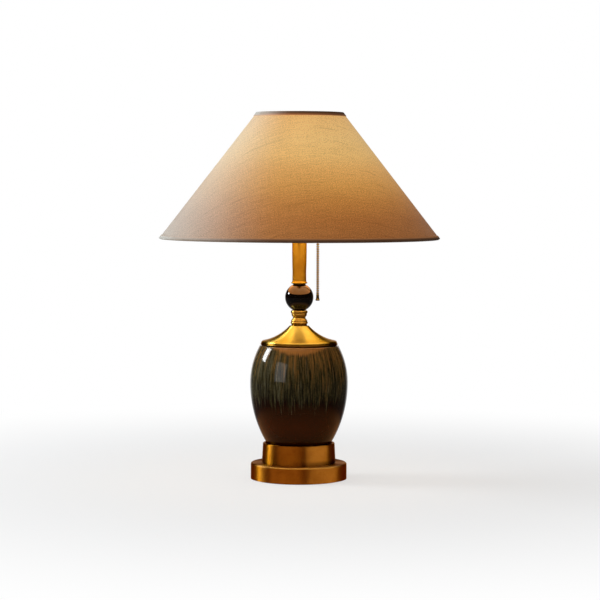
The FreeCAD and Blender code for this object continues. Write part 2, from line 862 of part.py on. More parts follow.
def make_saddle():
    saddle = new_body("harp_saddle")
    half_width = s.saddle_width / 2
    half_wall = s.saddle_thickness / 2
    end = s.harp_spread + half_wall
    peg_foot = post_top - s.saddle_peg_height
    tab_top = peg_foot + s.saddle_thickness * 2
    strip = [rectangle(-half_width, half_width, -end, end)]
    extrude(saddle, "strip", "Z", strip, saddle_foot, s.saddle_thickness)
    middles = (-s.harp_spread, s.harp_spread)
    tabs = [rectangle(-half_width / 2, half_width / 2, y - half_wall, y + half_wall) for y in middles]
    extrude(saddle, "tabs", "Z", tabs, saddle_foot, tab_top - saddle_foot)
    pegs = [circle(ZERO, y, s.harp_wire_radius) for y in middles]
    extrude(saddle, "pegs", "Z", pegs, peg_foot, s.saddle_peg_height)
    hole = circle(ZERO, ZERO, pipe_hole)
    start = saddle_foot - s.overrun
    extrude(saddle, "pipe_hole", "Z", [hole], start, s.saddle_thickness + s.overrun * 2, cut=True)


def make_holder():
    cap = new_body("holder_cap")
    bore = s.pipe_radius + s.neck_fit_gap
    inside = s.holder_cap_radius - s.holder_cap_wall
    skirt_foot = holder_cap_top - s.holder_cap_skirt
    dome_foot = holder_foot + s.holder_cap_foot
    turn(cap, "spinning", [
        line(bore, holder_foot),
        line(s.holder_hub_radius, holder_foot),
        line(s.holder_hub_radius, dome_foot),
        swell(s.holder_cap_radius, skirt_foot, s.holder_cap_swell, 1),
        line(s.holder_cap_radius, holder_cap_top),
        line(inside, holder_cap_top),
        line(inside, skirt_foot),
        swell(s.holder_hub_radius, dome_foot + s.holder_cap_wall, s.holder_cap_swell, -1),
        line(s.holder_hub_radius, pipe_top),
        line(bore, pipe_top),
    ])

    shell = new_body("holder_shell")
    bead_foot = shell_top - s.holder_shell_wall * 2
    turn(shell, "tube", [
        line(shell_inside, shell_foot),
        line(s.holder_shell_radius, shell_foot),
        line(s.holder_shell_radius, bead_foot),
        swell(s.holder_shell_radius, shell_top, s.holder_shell_wall / 2, 1),
        line(shell_inside, shell_top),
    ])
    exit_hole = [circle(ZERO, guide_height, guide_hole)]
    reach = s.holder_cap_radius + s.overrun
    extrude(shell, "chain_exit", "X", exit_hole, ZERO, reach, cut=True)

    liner_top = shell_top - s.holder_shell_wall * 2
    liner = ring("shell_liner", liner_inside, liner_outside, switch_foot, liner_top)
    extrude(liner, "chain_exit", "X", exit_hole, ZERO, reach, cut=True)


def make_switch():
    body = new_body("switch_body")
    extrude(body, "moulding", "Z", [circle(ZERO, ZERO, s.switch_radius)], switch_foot, s.switch_height)
    well_foot = switch_foot + s.switch_floor
    well = rectangle(s.drum_distance - drum_radius - s.drum_gap, s.switch_radius + s.overrun,
                     well_foot, switch_top - s.switch_floor)
    half_slot = s.switch_slot_width / 2
    extrude(body, "drum_well", "Y", [well], -half_slot, s.switch_slot_width, cut=True)
    pin_reach = half_slot + s.switch_floor
    pin_hole = circle(s.drum_distance, drum_height, s.drum_pin_radius + s.terminal_gap)
    extrude(body, "pin_hole", "Y", [pin_hole], -pin_reach, pin_reach * 2, cut=True)

    pin_body = new_body("drum_pin")
    section = circle(s.drum_distance, drum_height, s.drum_pin_radius)
    extrude(pin_body, "pin", "Y", [section], -pin_reach, pin_reach * 2)

    drum = new_body("switch_drum")
    teeth = round(s.drum_teeth.value)
    root = drum_radius - s.drum_tooth_depth
    corners = []
    for tooth in range(teeth):
        corners.append(polar(drum_radius, tooth / teeth))
        corners.append(polar(root, (tooth + 1) / teeth))
    middle_corners = [(x + s.drum_distance, z + drum_height) for x, z in corners]
    extrude(drum, "ratchet", "Y", [polygon(middle_corners)], -s.drum_width / 2, s.drum_width)
    hole = circle(s.drum_distance, drum_height, s.drum_pin_radius + s.terminal_gap)
    extrude(drum, "bore", "Y", [hole], -s.drum_width, s.drum_width * 2, cut=True)

    spring = new_body("return_spring")
    start = s.drum_width / 2 + s.pipe_hole_gap
    coil = circle(s.drum_distance, drum_height, s.spring_radius)
    extrude(spring, "coil", "Y", [coil], start, s.spring_width)
    inside = circle(s.drum_distance, drum_height, s.drum_pin_radius + s.pipe_hole_gap)
    extrude(spring, "coil_bore", "Y", [inside], ZERO, s.switch_slot_width, cut=True)

    posts = new_body("terminal_posts")
    feet = [circle(x, ZERO, s.post_radius) for x in (-s.post_distance, s.post_distance)]
    extrude(posts, "posts", "Z", feet, switch_foot - s.post_length, s.post_length)

    socket = new_body("screw_shell")
    inner = s.screw_shell_radius - s.screw_shell_wall
    tube_top = switch_top + s.screw_shell_height
    turn(socket, "rolled_tube", rectangle(inner, s.screw_shell_radius, switch_top, tube_top))

    contact = new_body("centre_contact")
    tongue = switch_top + s.contact_rise
    turn(contact, "pressing", [
        line(ZERO, switch_top),
        line(s.contact_radius, switch_top),
        line(s.contact_radius, switch_top + s.contact_thickness),
        line(s.contact_radius / 2, switch_top + s.contact_thickness),
        line(s.contact_radius / 3, tongue),
        line(ZERO, tongue),
    ])


# Leads: from the terminal block in the base, up the pipe and out to the switch posts

def routed(points, bends, radius):
    """A round lead along straight runs joined by tangent arcs, one bend radius for each inner point."""
    edges = []
    start = points[0]
    for before, corner, after, bend in zip(points, points[1:], points[2:], bends):
        arriving = (corner - before).normalize()
        leaving = (after - corner).normalize()
        half_turn = arriving.getAngle(leaving) / 2
        cut = bend * math.tan(half_turn)
        first = corner - arriving * cut
        last = corner + leaving * cut
        inward = (leaving - arriving).normalize()
        middle = corner + inward * (bend / math.cos(half_turn) - bend)
        edges.append(Part.LineSegment(start, first).toShape())
        edges.append(Part.Arc(first, middle, last).toShape())
        start = last
    edges.append(Part.LineSegment(start, points[-1]).toShape())
    spine = Part.Wire(edges)
    section = Part.Wire([Part.makeCircle(radius, points[0], points[1] - points[0])])
    solid = spine.makePipeShell([section], True, False)
    drift = solid.Volume / (math.pi * radius ** 2 * spine.Length) - 1
    print(f"lead of {spine.Length:.1f} mm, volume off by {drift:.5f}")
    return solid


def make_leads():
    low = pipe_foot.value - s.lead_bend.value
    high = switch_foot.value - s.lead_radius.value * 2.4
    entry = s.block_distance.value - s.terminal_tube_length.value / 2
    half_length = s.terminal_tube_length.value / 2
    bends = [s.lead_bend.value] * 3 + [s.lead_short_bend.value]
    leads = []
    for side in (-1, 1):
        spread = side * s.terminal_spread.value
        inner = side * s.lead_spread.value
        end = side * (s.post_distance.value - s.post_radius.value)
        route = [
            point(spread, entry + half_length - s.terminal_gap.value, terminal_height.value),
            point(spread, entry - s.lead_bend.value, terminal_height.value),
            point(spread, s.lead_turn_in.value, low),
            point(inner, 0, low),
            point(inner, 0, high),
            point(end, 0, high),
        ]
        leads.append(routed(route, bends, s.lead_radius.value))
    feature = doc.addObject("Part::Feature", "inner_leads")
    feature.Label = "inner_leads"
    feature.Shape = Part.makeCompound(leads)
    pieces.append(feature)


# Chain guide and bead chain

pivot = guide_mouth - s.bead_height / 2 - s.guide_lip
half_bead = s.bead_height / 2


def bead_outline(height):
    """A hollow bead with flat ends and a round side, open along its middle."""
    cavity = half_bead - s.bead_wall
    bulge = s.bead_radius - s.bead_shoulder_radius
    return [
        line(s.bead_hole_radius, height - half_bead),
        line(s.bead_shoulder_radius, height - half_bead),
        swell(s.bead_shoulder_radius, height + half_bead, bulge, 1),
        line(s.bead_hole_radius, height + half_bead),
        line(s.bead_hole_radius, height + cavity),
        line(s.bead_shoulder_radius, height + cavity),
        swell(s.bead_shoulder_radius, height - cavity, bulge - s.bead_wall, -1),
        line(s.bead_hole_radius, height - cavity),
    ]


def link_outline(top_bead):
    """A pin between two beads, with a head inside each."""
    upper_head = top_bead - s.link_head_gap
    lower_head = top_bead - s.bead_pitch + s.link_head_gap
    return [
        line(ZERO, lower_head),
        line(s.link_head_radius, lower_head),
        line(s.link_radius, lower_head + s.link_head_height),
        line(s.link_radius, upper_head - s.link_head_height),
        line(s.link_head_radius, upper_head),
        line(ZERO, upper_head),
    ]


def stub_outline(bead, way):
    """A pin that stands out of a bead, up with way 1, down with -1, and stops short of the swivel bead."""
    head = bead + s.link_head_gap * way
    end = bead + (s.bead_pitch - half_bead - s.swivel_gap) * way
    return [
        line(ZERO, head),
        line(s.link_head_radius, head),
        line(s.link_radius, head + s.link_head_height * way),
        line(s.link_radius, end),
        line(ZERO, end),
    ]


def bead_run(label, top_bead, count, stub_bead, stub_way):
    """Hollow beads from top_bead down, the pinned links between them, the stub beside the swivel bead."""
    outlines = (
        ("beads", bead_outline(top_bead), count),
        ("links", link_outline(top_bead), count - 1),
        ("stub", stub_outline(stub_bead, stub_way), None),
    )
    members = []
    for name, outline, number in outlines:
        body = new_body(f"{label}_{name}", kept=False)
        feature = turn(body, name, outline)
        if number is not None:
            repeat_down(body, f"{name}_run", feature, s.bead_pitch, number)
        place(body, x=s.chain_distance)
        members.append(body)
    group(label, members)


def make_chain():
    guide = new_body("chain_guide")
    start = liner_inside + s.liner_gap
    bend_start = s.chain_distance - s.guide_bend
    path = [
        line(start, guide_height),
        line(bend_start, guide_height),
        bow(s.chain_distance, guide_height - s.guide_bend, s.guide_bend, -1),
        line(s.chain_distance, guide_mouth),
    ]
    tube = [circle(ZERO, guide_height, s.guide_radius), circle(ZERO, guide_height, s.guide_bore_radius)]
    sweep(guide, "tube", "XZ_Plane", path, "YZ_Plane", tube, start)
    lip = [circle(s.chain_distance, ZERO, s.guide_radius + s.guide_lip),
           circle(s.chain_distance, ZERO, s.guide_bore_radius)]
    extrude(guide, "lip", "Z", lip, guide_mouth, s.guide_lip)
    flange = [circle(ZERO, guide_height, s.guide_radius + s.guide_lip * 2),
              circle(ZERO, guide_height, s.guide_bore_radius)]
    extrude(guide, "flange", "X", flange, s.holder_shell_radius, s.guide_lip)

    top_bead = pivot + s.bead_pitch * s.top_bead_count
    bead_run("chain_top", top_bead, s.top_bead_count, pivot + s.bead_pitch, -1)

    swivel = new_body("chain_swivel")
    turn(swivel, "bead", bead_outline(pivot))
    place(swivel, x=s.chain_distance)

    first_bead = pivot - s.bead_pitch
    bead_run("pull_chain", first_bead, s.bead_count, first_bead, 1)

    pendant = new_body("chain_pendant")
    last_bead = pivot - s.bead_pitch * s.bead_count
    head = last_bead - s.link_head_gap
    pendant_top = last_bead - half_bead - s.terminal_gap
    pendant_foot = pendant_top - s.pendant_height
    rim = s.pendant_radius - s.pendant_swell
    turn(pendant, "turning", [
        line(ZERO, pendant_foot),
        line(rim, pendant_foot),
        swell(rim, pendant_foot + s.pendant_rim_height, s.pendant_swell, 1),
        swell(s.pendant_shoulder_radius, pendant_top - s.pendant_shoulder_drop, s.pendant_swell, -1),
        swell(s.pendant_neck_radius, pendant_top, s.pendant_swell, 1),
        line(s.link_radius, pendant_top),
        line(s.link_radius, head - s.link_head_height),
        line(s.link_head_radius, head),
        line(ZERO, head),
    ])
    place(pendant, x=s.chain_distance)


# Bulb: tip, insulator, threaded cap, envelope and filament

def make_bulb():
    tip_foot = switch_top + s.contact_rise + s.terminal_gap
    tip_top = tip_foot + s.bulb_tip_height
    insulator_top = tip_top + s.bulb_insulator_height
    cap_top_height = insulator_top + s.bulb_cap_height

    tip = new_body("bulb_tip")
    turn(tip, "solder_cap", [
        line(ZERO, tip_foot),
        line(s.bulb_tip_radius / 2, tip_foot),
        line(s.bulb_tip_radius, tip_top),
        line(ZERO, tip_top),
    ])
    insulator = new_body("bulb_insulator")
    turn(insulator, "moulding", [
        line(ZERO, tip_top),
        line(s.bulb_tip_radius, tip_top),
        line(s.bulb_insulator_radius, insulator_top),
        line(ZERO, insulator_top),
    ])

    cap = new_body("bulb_cap")
    groove = s.bulb_cap_radius - s.bulb_thread_depth
    inside = groove - s.bulb_cap_wall
    thread_foot = insulator_top + s.bulb_cap_shoulder
    turns = round(s.bulb_thread_turns.value)
    thread_pitch = (s.bulb_cap_height - s.bulb_cap_shoulder * 2) / turns
    thread = [swell(groove, thread_foot + thread_pitch * (index + 1), s.bulb_thread_depth, 1)
              for index in range(turns)]
    rim = s.bulb_insulator_radius + s.terminal_gap
    turn(cap, "rolled_shell", [
        line(rim, insulator_top),
        line(rim + s.bulb_cap_wall, insulator_top),
        line(groove, thread_foot),
        *thread,
        line(groove, cap_top_height),
        line(inside, cap_top_height),
        line(inside, thread_foot),
        line(rim, insulator_top + s.bulb_cap_wall * 2),
    ])

    glass = new_body("bulb_glass")
    middle = tip_foot + s.bulb_length - s.bulb_radius
    throat_foot = cap_top_height - s.bulb_throat_height
    blend_centre = s.bulb_throat_radius + s.bulb_blend_radius
    reach = s.bulb_radius + s.bulb_blend_radius
    drop = (reach * reach - blend_centre * blend_centre).root()

    def on_sphere(radius):
        return blend_centre * radius / reach, middle - drop * radius / reach

    inner_sphere = s.bulb_radius - s.bulb_wall
    inner_throat = s.bulb_throat_radius - s.bulb_wall
    turn(glass, "blown_form", [
        line(s.bulb_throat_radius, throat_foot),
        line(s.bulb_throat_radius, middle - drop),
        bow(*on_sphere(s.bulb_radius), s.bulb_blend_radius, -1),
        bow(ZERO, middle + s.bulb_radius, s.bulb_radius, 1),
        line(ZERO, middle + inner_sphere),
        bow(*on_sphere(inner_sphere), inner_sphere, -1),
        bow(inner_throat, middle - drop, s.bulb_blend_radius + s.bulb_wall, 1),
        line(inner_throat, throat_foot),
    ])

    filament = new_body("bulb_filament")
    plate = s.filament_radius * 2
    stem_foot = throat_foot
    rods_foot = middle - s.filament_length / 2
    rods_top = middle + s.filament_length / 2
    plate_radius = s.filament_spread + plate
    turn(filament, "stem", [
        line(ZERO, stem_foot),
        line(inner_throat - s.layer_gap, stem_foot),
        line(s.stem_radius, stem_foot + s.bulb_throat_height),
        line(s.stem_radius, rods_foot - plate),
        line(plate_radius, rods_foot - plate),
        line(plate_radius, rods_foot),
        line(s.filament_radius, rods_foot),
        line(s.filament_radius, rods_top),
        line(plate_radius, rods_top),
        line(plate_radius, rods_top + plate),
        line(ZERO, rods_top + plate),
    ])
    spots = [polar(s.filament_spread, share / 4) for share in range(4)]
    rods = [circle(x, y, s.filament_radius) for x, y in spots]
    extrude(filament, "rods", "Z", rods, rods_foot - plate / 2, s.filament_length + plate)


# Harp, its sleeves and its stud

harp_foot = post_top + s.harp_end_gap
shoulder_foot = harp_foot + s.harp_leg
shoulder_top = shoulder_foot + s.harp_swell
harp_top = shoulder_top + s.harp_crown_radius
stud_foot = harp_top + s.harp_wire_radius
hub_foot = stud_foot + s.stud_flange_thickness + s.hub_gap


def make_harp():
    harp = new_body("harp")
    spread = s.harp_width - s.harp_spread
    curve = (spread * spread + s.harp_swell * s.harp_swell) / (spread * 4)
    flat = s.harp_width - s.harp_crown_radius
    middle_y = (s.harp_width + s.harp_spread) / 2
    middle_z = shoulder_foot + s.harp_swell / 2
    path = [
        line(s.harp_spread, harp_foot),
        line(s.harp_spread, shoulder_foot),
        bow(middle_y, middle_z, curve, -1),
        bow(s.harp_width, shoulder_top, curve, 1),
        bow(flat, harp_top, s.harp_crown_radius, 1),
        line(-flat, harp_top),
        bow(-s.harp_width, shoulder_top, s.harp_crown_radius, 1),
        bow(-middle_y, middle_z, curve, 1),
        bow(-s.harp_spread, shoulder_foot, curve, -1),
        line(-s.harp_spread, harp_foot),
    ]
    section = [circle(ZERO, s.harp_spread, s.harp_wire_radius)]
    sweep(harp, "wire", "YZ_Plane", path, "XY_Plane", section, harp_foot)
    eye_foot = harp_top - s.harp_wire_radius
    eye_height = s.harp_wire_radius * 2
    extrude(harp, "eye", "Z", [circle(ZERO, ZERO, s.harp_eye_radius)], eye_foot, eye_height)
    hole = circle(ZERO, ZERO, s.stud_radius + s.terminal_gap)
    extrude(harp, "stud_hole", "Z", [hole], eye_foot - s.overrun, eye_height + s.overrun * 2, cut=True)

    stud = new_body("harp_stud")
    rivet = eye_foot - s.stud_flange_thickness / 2
    flange_top = stud_foot + s.stud_flange_thickness
    turn(stud, "turning", [
        line(ZERO, rivet),
        line(s.stud_radius + s.stud_flange_thickness / 2, rivet),
        line(s.stud_radius + s.stud_flange_thickness / 2, eye_foot),
        line(s.stud_radius, eye_foot),
        line(s.stud_radius, stud_foot),
        line(s.stud_flange_radius, stud_foot),
        line(s.stud_flange_radius, flange_top),
        line(s.stud_radius, flange_top),
        line(s.stud_radius, flange_top + s.stud_length - s.pipe_bevel),
        line(s.stud_radius - s.pipe_bevel, flange_top + s.stud_length),
        line(ZERO, flange_top + s.stud_length),
    ])

    for label, y in (("harp_sleeve_rear", s.harp_spread), ("harp_sleeve_front", -s.harp_spread)):
        sleeve = new_body(label)
        foot = post_top - s.sleeve_height / 2
        top = foot + s.sleeve_height
        inside = s.sleeve_radius - s.sleeve_bead
        turn(sleeve, "ferrule", [
            line(s.sleeve_bore_radius, foot),
            line(inside, foot),
            swell(inside, foot + s.sleeve_bead * 4, s.sleeve_bead, 1),
            line(inside, top - s.sleeve_bead * 4),
            swell(inside, top, s.sleeve_bead, 1),
            line(s.sleeve_bore_radius, top),
        ])
        place(sleeve, y=y)


# Shade: the cone's own coordinates are down, along its slope from the top edge, and out, square to it

shade_top = hub_foot + s.shade_rise
cone_run = s.shade_bottom_radius - s.shade_top_radius
slant = (cone_run * cone_run + s.shade_height * s.shade_height).root()
lining_outside = s.fabric_thickness + s.layer_gap
lining_inside = lining_outside + s.fabric_thickness
tape_inside = lining_inside + s.layer_gap + s.tape_thickness
arm_height = hub_foot + s.arm_radius


def on_cone(down, out):
    radius = s.shade_top_radius + (down * cone_run + out * s.shade_height) / slant
    height = shade_top + (out * cone_run - down * s.shade_height) / slant
    return radius, height


def cone_layer(label, outer, inner):
    body = new_body(label)
    corners = [on_cone(ZERO, inner), on_cone(slant, inner), on_cone(slant, outer), on_cone(ZERO, outer)]
    turn(body, "cone", polygon(corners))


def edge_tape(label, edge, down):
    """A folded tape over a cut edge; down is 1 at the top edge and -1 at the bottom one."""
    outer = s.layer_gap + s.tape_thickness
    fold = s.layer_gap + s.tape_thickness
    rounding = s.tape_rounding

    def at(inward, out):
        return on_cone(edge + inward * down, out)

    body = new_body(label)
    turn(body, "fold", [
        line(*at(s.tape_width, s.layer_gap)),
        line(*at(-s.layer_gap, s.layer_gap)),
        line(*at(-s.layer_gap, -lining_inside - s.layer_gap)),
        line(*at(s.tape_width, -lining_inside - s.layer_gap)),
        line(*at(s.tape_width, -tape_inside)),
        line(*at(rounding - fold, -tape_inside)),
        bow(*at(-fold, rounding - tape_inside), rounding, -down),
        line(*at(-fold, outer - rounding)),
        bow(*at(rounding - fold, outer), rounding, -down),
        line(*at(s.tape_width - rounding, outer)),
        bow(*at(s.tape_width, outer - rounding), rounding, -down),
    ])


def edge_wire(label, down, wire):
    radius, height = on_cone(down, -tape_inside - s.wire_gap - wire)
    torus = doc.addObject("Part::Torus", label)
    torus.Label = label
    torus.Radius1 = radius.value
    torus.Radius2 = wire.value
    bind(torus, "Radius1", radius)
    bind(torus, "Radius2", wire)
    place(torus, z=height)
    pieces.append(torus)
    return radius, height


def cone_solid(name, foot, top, offset):
    """The full cone between two slope distances, grown by an offset square to the slope."""
    foot_radius, foot_height = on_cone(foot, ZERO)
    top_radius, top_height = on_cone(top, ZERO)
    growth = offset * slant / s.shade_height
    cone = doc.addObject("Part::Cone", name)
    for path, size in (("Radius1", foot_radius + growth), ("Radius2", top_radius + growth),
                       ("Height", top_height - foot_height)):
        setattr(cone, path, size.value)
        bind(cone, path, size)
    place(cone, z=foot_height)
    return cone


def make_seam():
    top = s.tape_width + s.seam_thickness
    foot = slant - s.tape_width - s.seam_thickness
    shell = doc.addObject("Part::Cut", "seam_shell")
    shell.Base = cone_solid("seam_outside", foot, top, s.layer_gap + s.seam_thickness)
    shell.Tool = cone_solid("seam_inside", foot, top, s.layer_gap)
    box = doc.addObject("Part::Box", "seam_band")
    reach = s.shade_bottom_radius + s.overrun
    for path, size in (("Length", s.seam_width), ("Width", reach), ("Height", shade_top)):
        setattr(box, path, size.value)
        bind(box, path, size)
    place(box, x=-s.seam_width / 2)
    strip = doc.addObject("Part::Common", "seam_strip")
    strip.Label = "seam_strip"
    strip.Base = shell
    strip.Tool = box
    pieces.append(strip)


def make_shade():
    cone_layer("shade_fabric", ZERO, -s.fabric_thickness)
    cone_layer("shade_liner", -lining_outside, -lining_inside)
    edge_tape("top_trim", ZERO, 1)
    edge_tape("bottom_trim", slant, -1)
    make_seam()
    wire_radius, wire_height = edge_wire("shade_top_ring", s.wire_inset, s.top_wire_radius)
    edge_wire("shade_bottom_ring", slant - s.wire_inset, s.bottom_wire_radius)

    spider = new_body("shade_spider")
    run = wire_radius - s.arm_reach
    rise = wire_height - arm_height
    length = (run * run + rise * rise).root()
    cut = s.arm_bend * (length - run) / rise
    end_share = (length - s.top_wire_radius - s.wire_gap) / length
    path = [
        line(s.stud_flange_radius, arm_height),
        line(s.arm_reach - cut, arm_height),
        bow(s.arm_reach + cut * run / length, arm_height + cut * rise / length, s.arm_bend, 1),
        line(s.arm_reach + run * end_share, arm_height + rise * end_share),
    ]
    section = [circle(ZERO, arm_height, s.arm_radius)]
    arm = sweep(spider, "arm", "XZ_Plane", path, "YZ_Plane", section, s.stud_flange_radius)
    repeat_round(spider, "arms", arm, s.arm_count)
    hub_hole = s.stud_radius + s.hub_gap
    hub = [circle(ZERO, ZERO, s.hub_radius)]
    extrude(spider, "hub", "Z", hub, hub_foot, s.arm_radius * 2)
    hole = [circle(ZERO, ZERO, hub_hole)]
    hole_length = s.arm_radius * 2 + s.overrun * 2
    extrude(spider, "stud_hole", "Z", hole, hub_foot - s.overrun, hole_length, cut=True)


def make_finial():
    finial = new_body("finial")
    foot = hub_foot + s.arm_radius * 2 + s.hub_gap
    bore = s.stud_radius + s.wire_gap * 2
    top = foot + s.finial_height
    flange_top = foot + s.stud_flange_thickness
    knob = s.finial_knob_radius
    neck = s.finial_neck_radius
    knob_foot = top - knob - (knob * knob - neck * neck).root()
    turn(finial, "turning", [
        line(bore, foot),
        line(s.finial_flange_radius, foot),
        line(s.finial_flange_radius, flange_top),
        swell(neck, knob_foot, s.stud_flange_thickness / 2, -1),
        bow(ZERO, top, knob, 1),
        line(ZERO, foot + s.finial_bore_depth),
        line(bore, foot + s.finial_bore_depth),
    ])


make_base()
make_terminals()
make_pipe()
make_plinth()
make_jar()
make_cap()
make_neck()
make_saddle()
make_holder()
make_switch()
make_leads()
make_chain()
make_bulb()
make_harp()
make_shade()
make_finial()
doc.recompute()

# Nothing is written unless every object and every shape is sound
for thing in doc.Objects:
    if "Invalid" in thing.State or "Error" in thing.State:
        raise RuntimeError(f"{thing.Label} could not be built: {thing.State}")
for piece in pieces:
    if piece.Shape.isNull() or not piece.Shape.isValid():
        raise RuntimeError(f"{piece.Label} has no sound shape")

os.makedirs("parts", exist_ok=True)
for piece in pieces:
    piece.Shape.exportStep(f"parts/{piece.Label}.step")
    print(f"{piece.Label}: {len(piece.Shape.Solids)} solid(s), {piece.Shape.Volume:.0f} mm3")
print(f"chain pivot {s.chain_distance.value:.4f}, {pivot.value:.4f}; drum {drum_height.value:.4f}")
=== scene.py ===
# Looks, camera and light of a ceramic table lamp with a fabric shade and a pull chain, in metres
import math
import bmesh
import bpy
import numpy as np
from mathutils import Matrix, Vector


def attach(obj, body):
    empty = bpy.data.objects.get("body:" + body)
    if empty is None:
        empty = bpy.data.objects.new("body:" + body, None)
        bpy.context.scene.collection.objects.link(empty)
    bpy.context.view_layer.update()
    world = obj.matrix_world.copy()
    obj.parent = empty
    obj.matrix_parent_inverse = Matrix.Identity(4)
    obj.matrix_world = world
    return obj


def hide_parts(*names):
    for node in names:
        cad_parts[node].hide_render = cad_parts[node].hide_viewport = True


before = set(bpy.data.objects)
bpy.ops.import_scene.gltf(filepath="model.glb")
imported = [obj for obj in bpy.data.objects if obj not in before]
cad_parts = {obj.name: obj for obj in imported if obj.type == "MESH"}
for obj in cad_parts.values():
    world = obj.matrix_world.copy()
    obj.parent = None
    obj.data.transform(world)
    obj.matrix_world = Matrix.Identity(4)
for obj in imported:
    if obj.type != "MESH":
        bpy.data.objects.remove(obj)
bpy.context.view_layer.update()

print("frame loaded,", len(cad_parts), "nodes")


# camera

viewPoint = dict(lens=132.3, sensor=36.0, place=(0.0011, -3.300, 0.4511), pitchDown=3.155, roll=0.20)

cameraData = bpy.data.cameras.new("viewCamera")
cameraData.lens = viewPoint["lens"]
cameraData.sensor_width = viewPoint["sensor"]
camera = bpy.data.objects.new("viewCamera", cameraData)
bpy.context.scene.collection.objects.link(camera)
camera.matrix_world = (
    Matrix.Translation(viewPoint["place"])
    @ Matrix.Rotation(math.radians(90 - viewPoint["pitchDown"]), 4, "X")
    @ Matrix.Rotation(math.radians(viewPoint["roll"]), 4, "Z")
)
bpy.context.scene.camera = camera
bpy.context.scene.view_settings.view_transform = "Standard"
print("camera placed")


# shader maths: a Wire is one value, and plain operators on it add Math nodes

mixSockets = dict(share=0, first=6, second=7, result=2)  # the Mix node's sockets for colours
nearNothing = 1e-9  # keeps a squared distance above zero on the axis


class Wire:
    def __init__(self, nodes, socket):
        self.nodes = nodes
        self.socket = socket

    def math(self, operation, *values):
        return self.nodes.add("Math", dict(operation=operation), dict(enumerate(values)))

    def __add__(self, other):
        return self.math("ADD", self, other)

    def __sub__(self, other):
        return self.math("SUBTRACT", self, other)

    def __rsub__(self, other):
        return self.math("SUBTRACT", other, self)

    def __mul__(self, other):
        return self.math("MULTIPLY", self, other)

    def __truediv__(self, other):
        return self.math("DIVIDE", self, other)

    def __rtruediv__(self, other):
        return self.math("DIVIDE", other, self)

    def __pow__(self, other):
        return self.math("POWER", self, other)

    __radd__ = __add__
    __rmul__ = __mul__


class Nodes:
    def __init__(self, tree):
        self.tree = tree

    def add(self, kind, settings, sockets, out=0):  # one node: its type, its settings, its inputs
        node = self.tree.nodes.new("ShaderNode" + kind)
        for name, value in settings.items():
            if name == "stops":
                stops = node.color_ramp.elements
                while len(stops) < len(value):
                    stops.new(0.5)  # its place is set below
                for stop, (place, colour) in zip(stops, value):
                    stop.position = place
                    stop.color = (*colour, 1)
            else:
                setattr(node, name, value)
        for key, value in sockets.items():
            self.feed(node.inputs[key], value)
        return Wire(self, node.outputs[out])

    def feed(self, socket, value):  # a Wire is linked to the socket, and anything else is set on it
        if isinstance(value, Wire):
            self.tree.links.new(value.socket, socket)
        elif hasattr(value, "__len__") and len(value) == 3 and socket.type == "RGBA":
            socket.default_value = (*value, 1)
        else:
            socket.default_value = value

    def mix(self, first, second, share, how="MIX"):  # two colours by a share from 0 to 1
        sockets = {mixSockets["share"]: share, mixSockets["first"]: first, mixSockets["second"]: second}
        return self.add("Mix", dict(data_type="RGBA", blend_type=how), sockets, mixSockets["result"])

    def ramp(self, value, *stops):  # the colour at a value between stops of (place, colour)
        return self.add("ValToRGB", dict(stops=stops), {0: value})

    def step(self, value, low, high):  # smooth rise from 0 at low to 1 at high
        return self.add("MapRange", dict(interpolation_type="SMOOTHSTEP"), {0: value, 1: low, 2: high})

    def noise(self, vector, scale, detail=2.0, rough=0.5):  # soft random values round 0.5
        return self.add("TexNoise", dict(noise_dimensions="3D"),
                        {"Vector": vector, "Scale": scale, "Detail": detail, "Roughness": rough})

    def vector(self, x, y, z):
        return self.add("CombineXYZ", {}, {"X": x, "Y": y, "Z": z})

    def split(self, vector):  # its three numbers
        node = self.tree.nodes.new("ShaderNodeSeparateXYZ")
        self.feed(node.inputs["Vector"], vector)
        return [Wire(self, output) for output in node.outputs]

    def place(self):  # object coordinates
        return self.add("TexCoord", {}, {}, "Object")

    def length(self, x, y):  # the root of the sum of the squares
        return (x * x + y * y + nearNothing) ** 0.5

    def drumNoise(self, at, around, upward, scale, detail, rough):  # noise wrapped round the axis, drawn out along it
        return self.noise(self.vector(at.right * around, at.rear * around, at.z * upward), scale, detail, rough)

    def clothNoise(self, u, v, across, down, layer, detail, rough):  # noise on the flat cut, drawn out along a thread
        return self.noise(self.vector(u * across, v * down, layer), 1.0, detail, rough)


class Spot:  # a point's height and distance from the axis, and its direction from there: right and rear, -1 to 1
    def __init__(self, nodes):
        x, y, self.z = nodes.split(nodes.place())
        self.reach = nodes.length(x, y)
        self.right, self.rear = x / self.reach, y / self.reach


class Finish(Nodes):
    def __init__(self, name, **sockets):  # sockets are constant settings such as metallic=1
        self.material = bpy.data.materials.new(name)
        self.material.use_nodes = True
        super().__init__(self.material.node_tree)
        self.shader = self.tree.nodes["Principled BSDF"]
        for key, value in sockets.items():
            self.set(key, value)

    def set(self, key, value):  # baseColor -> Base Color
        spaced = "".join(" " + letter if letter.isupper() else letter for letter in key)
        names = {"ior": "IOR", "specular": "Specular IOR Level"}
        words = names.get(key, " ".join(word.capitalize() for word in spaced.split()))
        self.feed(self.shader.inputs[words], value)

    def bump(self, height, strength, distance):
        return self.add("Bump", {}, {"Height": height, "Strength": strength, "Distance": distance})

    def cover(self, *names):  # gives the material to carried-over CAD nodes
        for name in names:
            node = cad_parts[name]
            for place in range(max(1, len(node.material_slots))):
                if not node.material_slots:
                    node.data.materials.append(self.material)
                node.material_slots[place].material = self.material


# surfaces

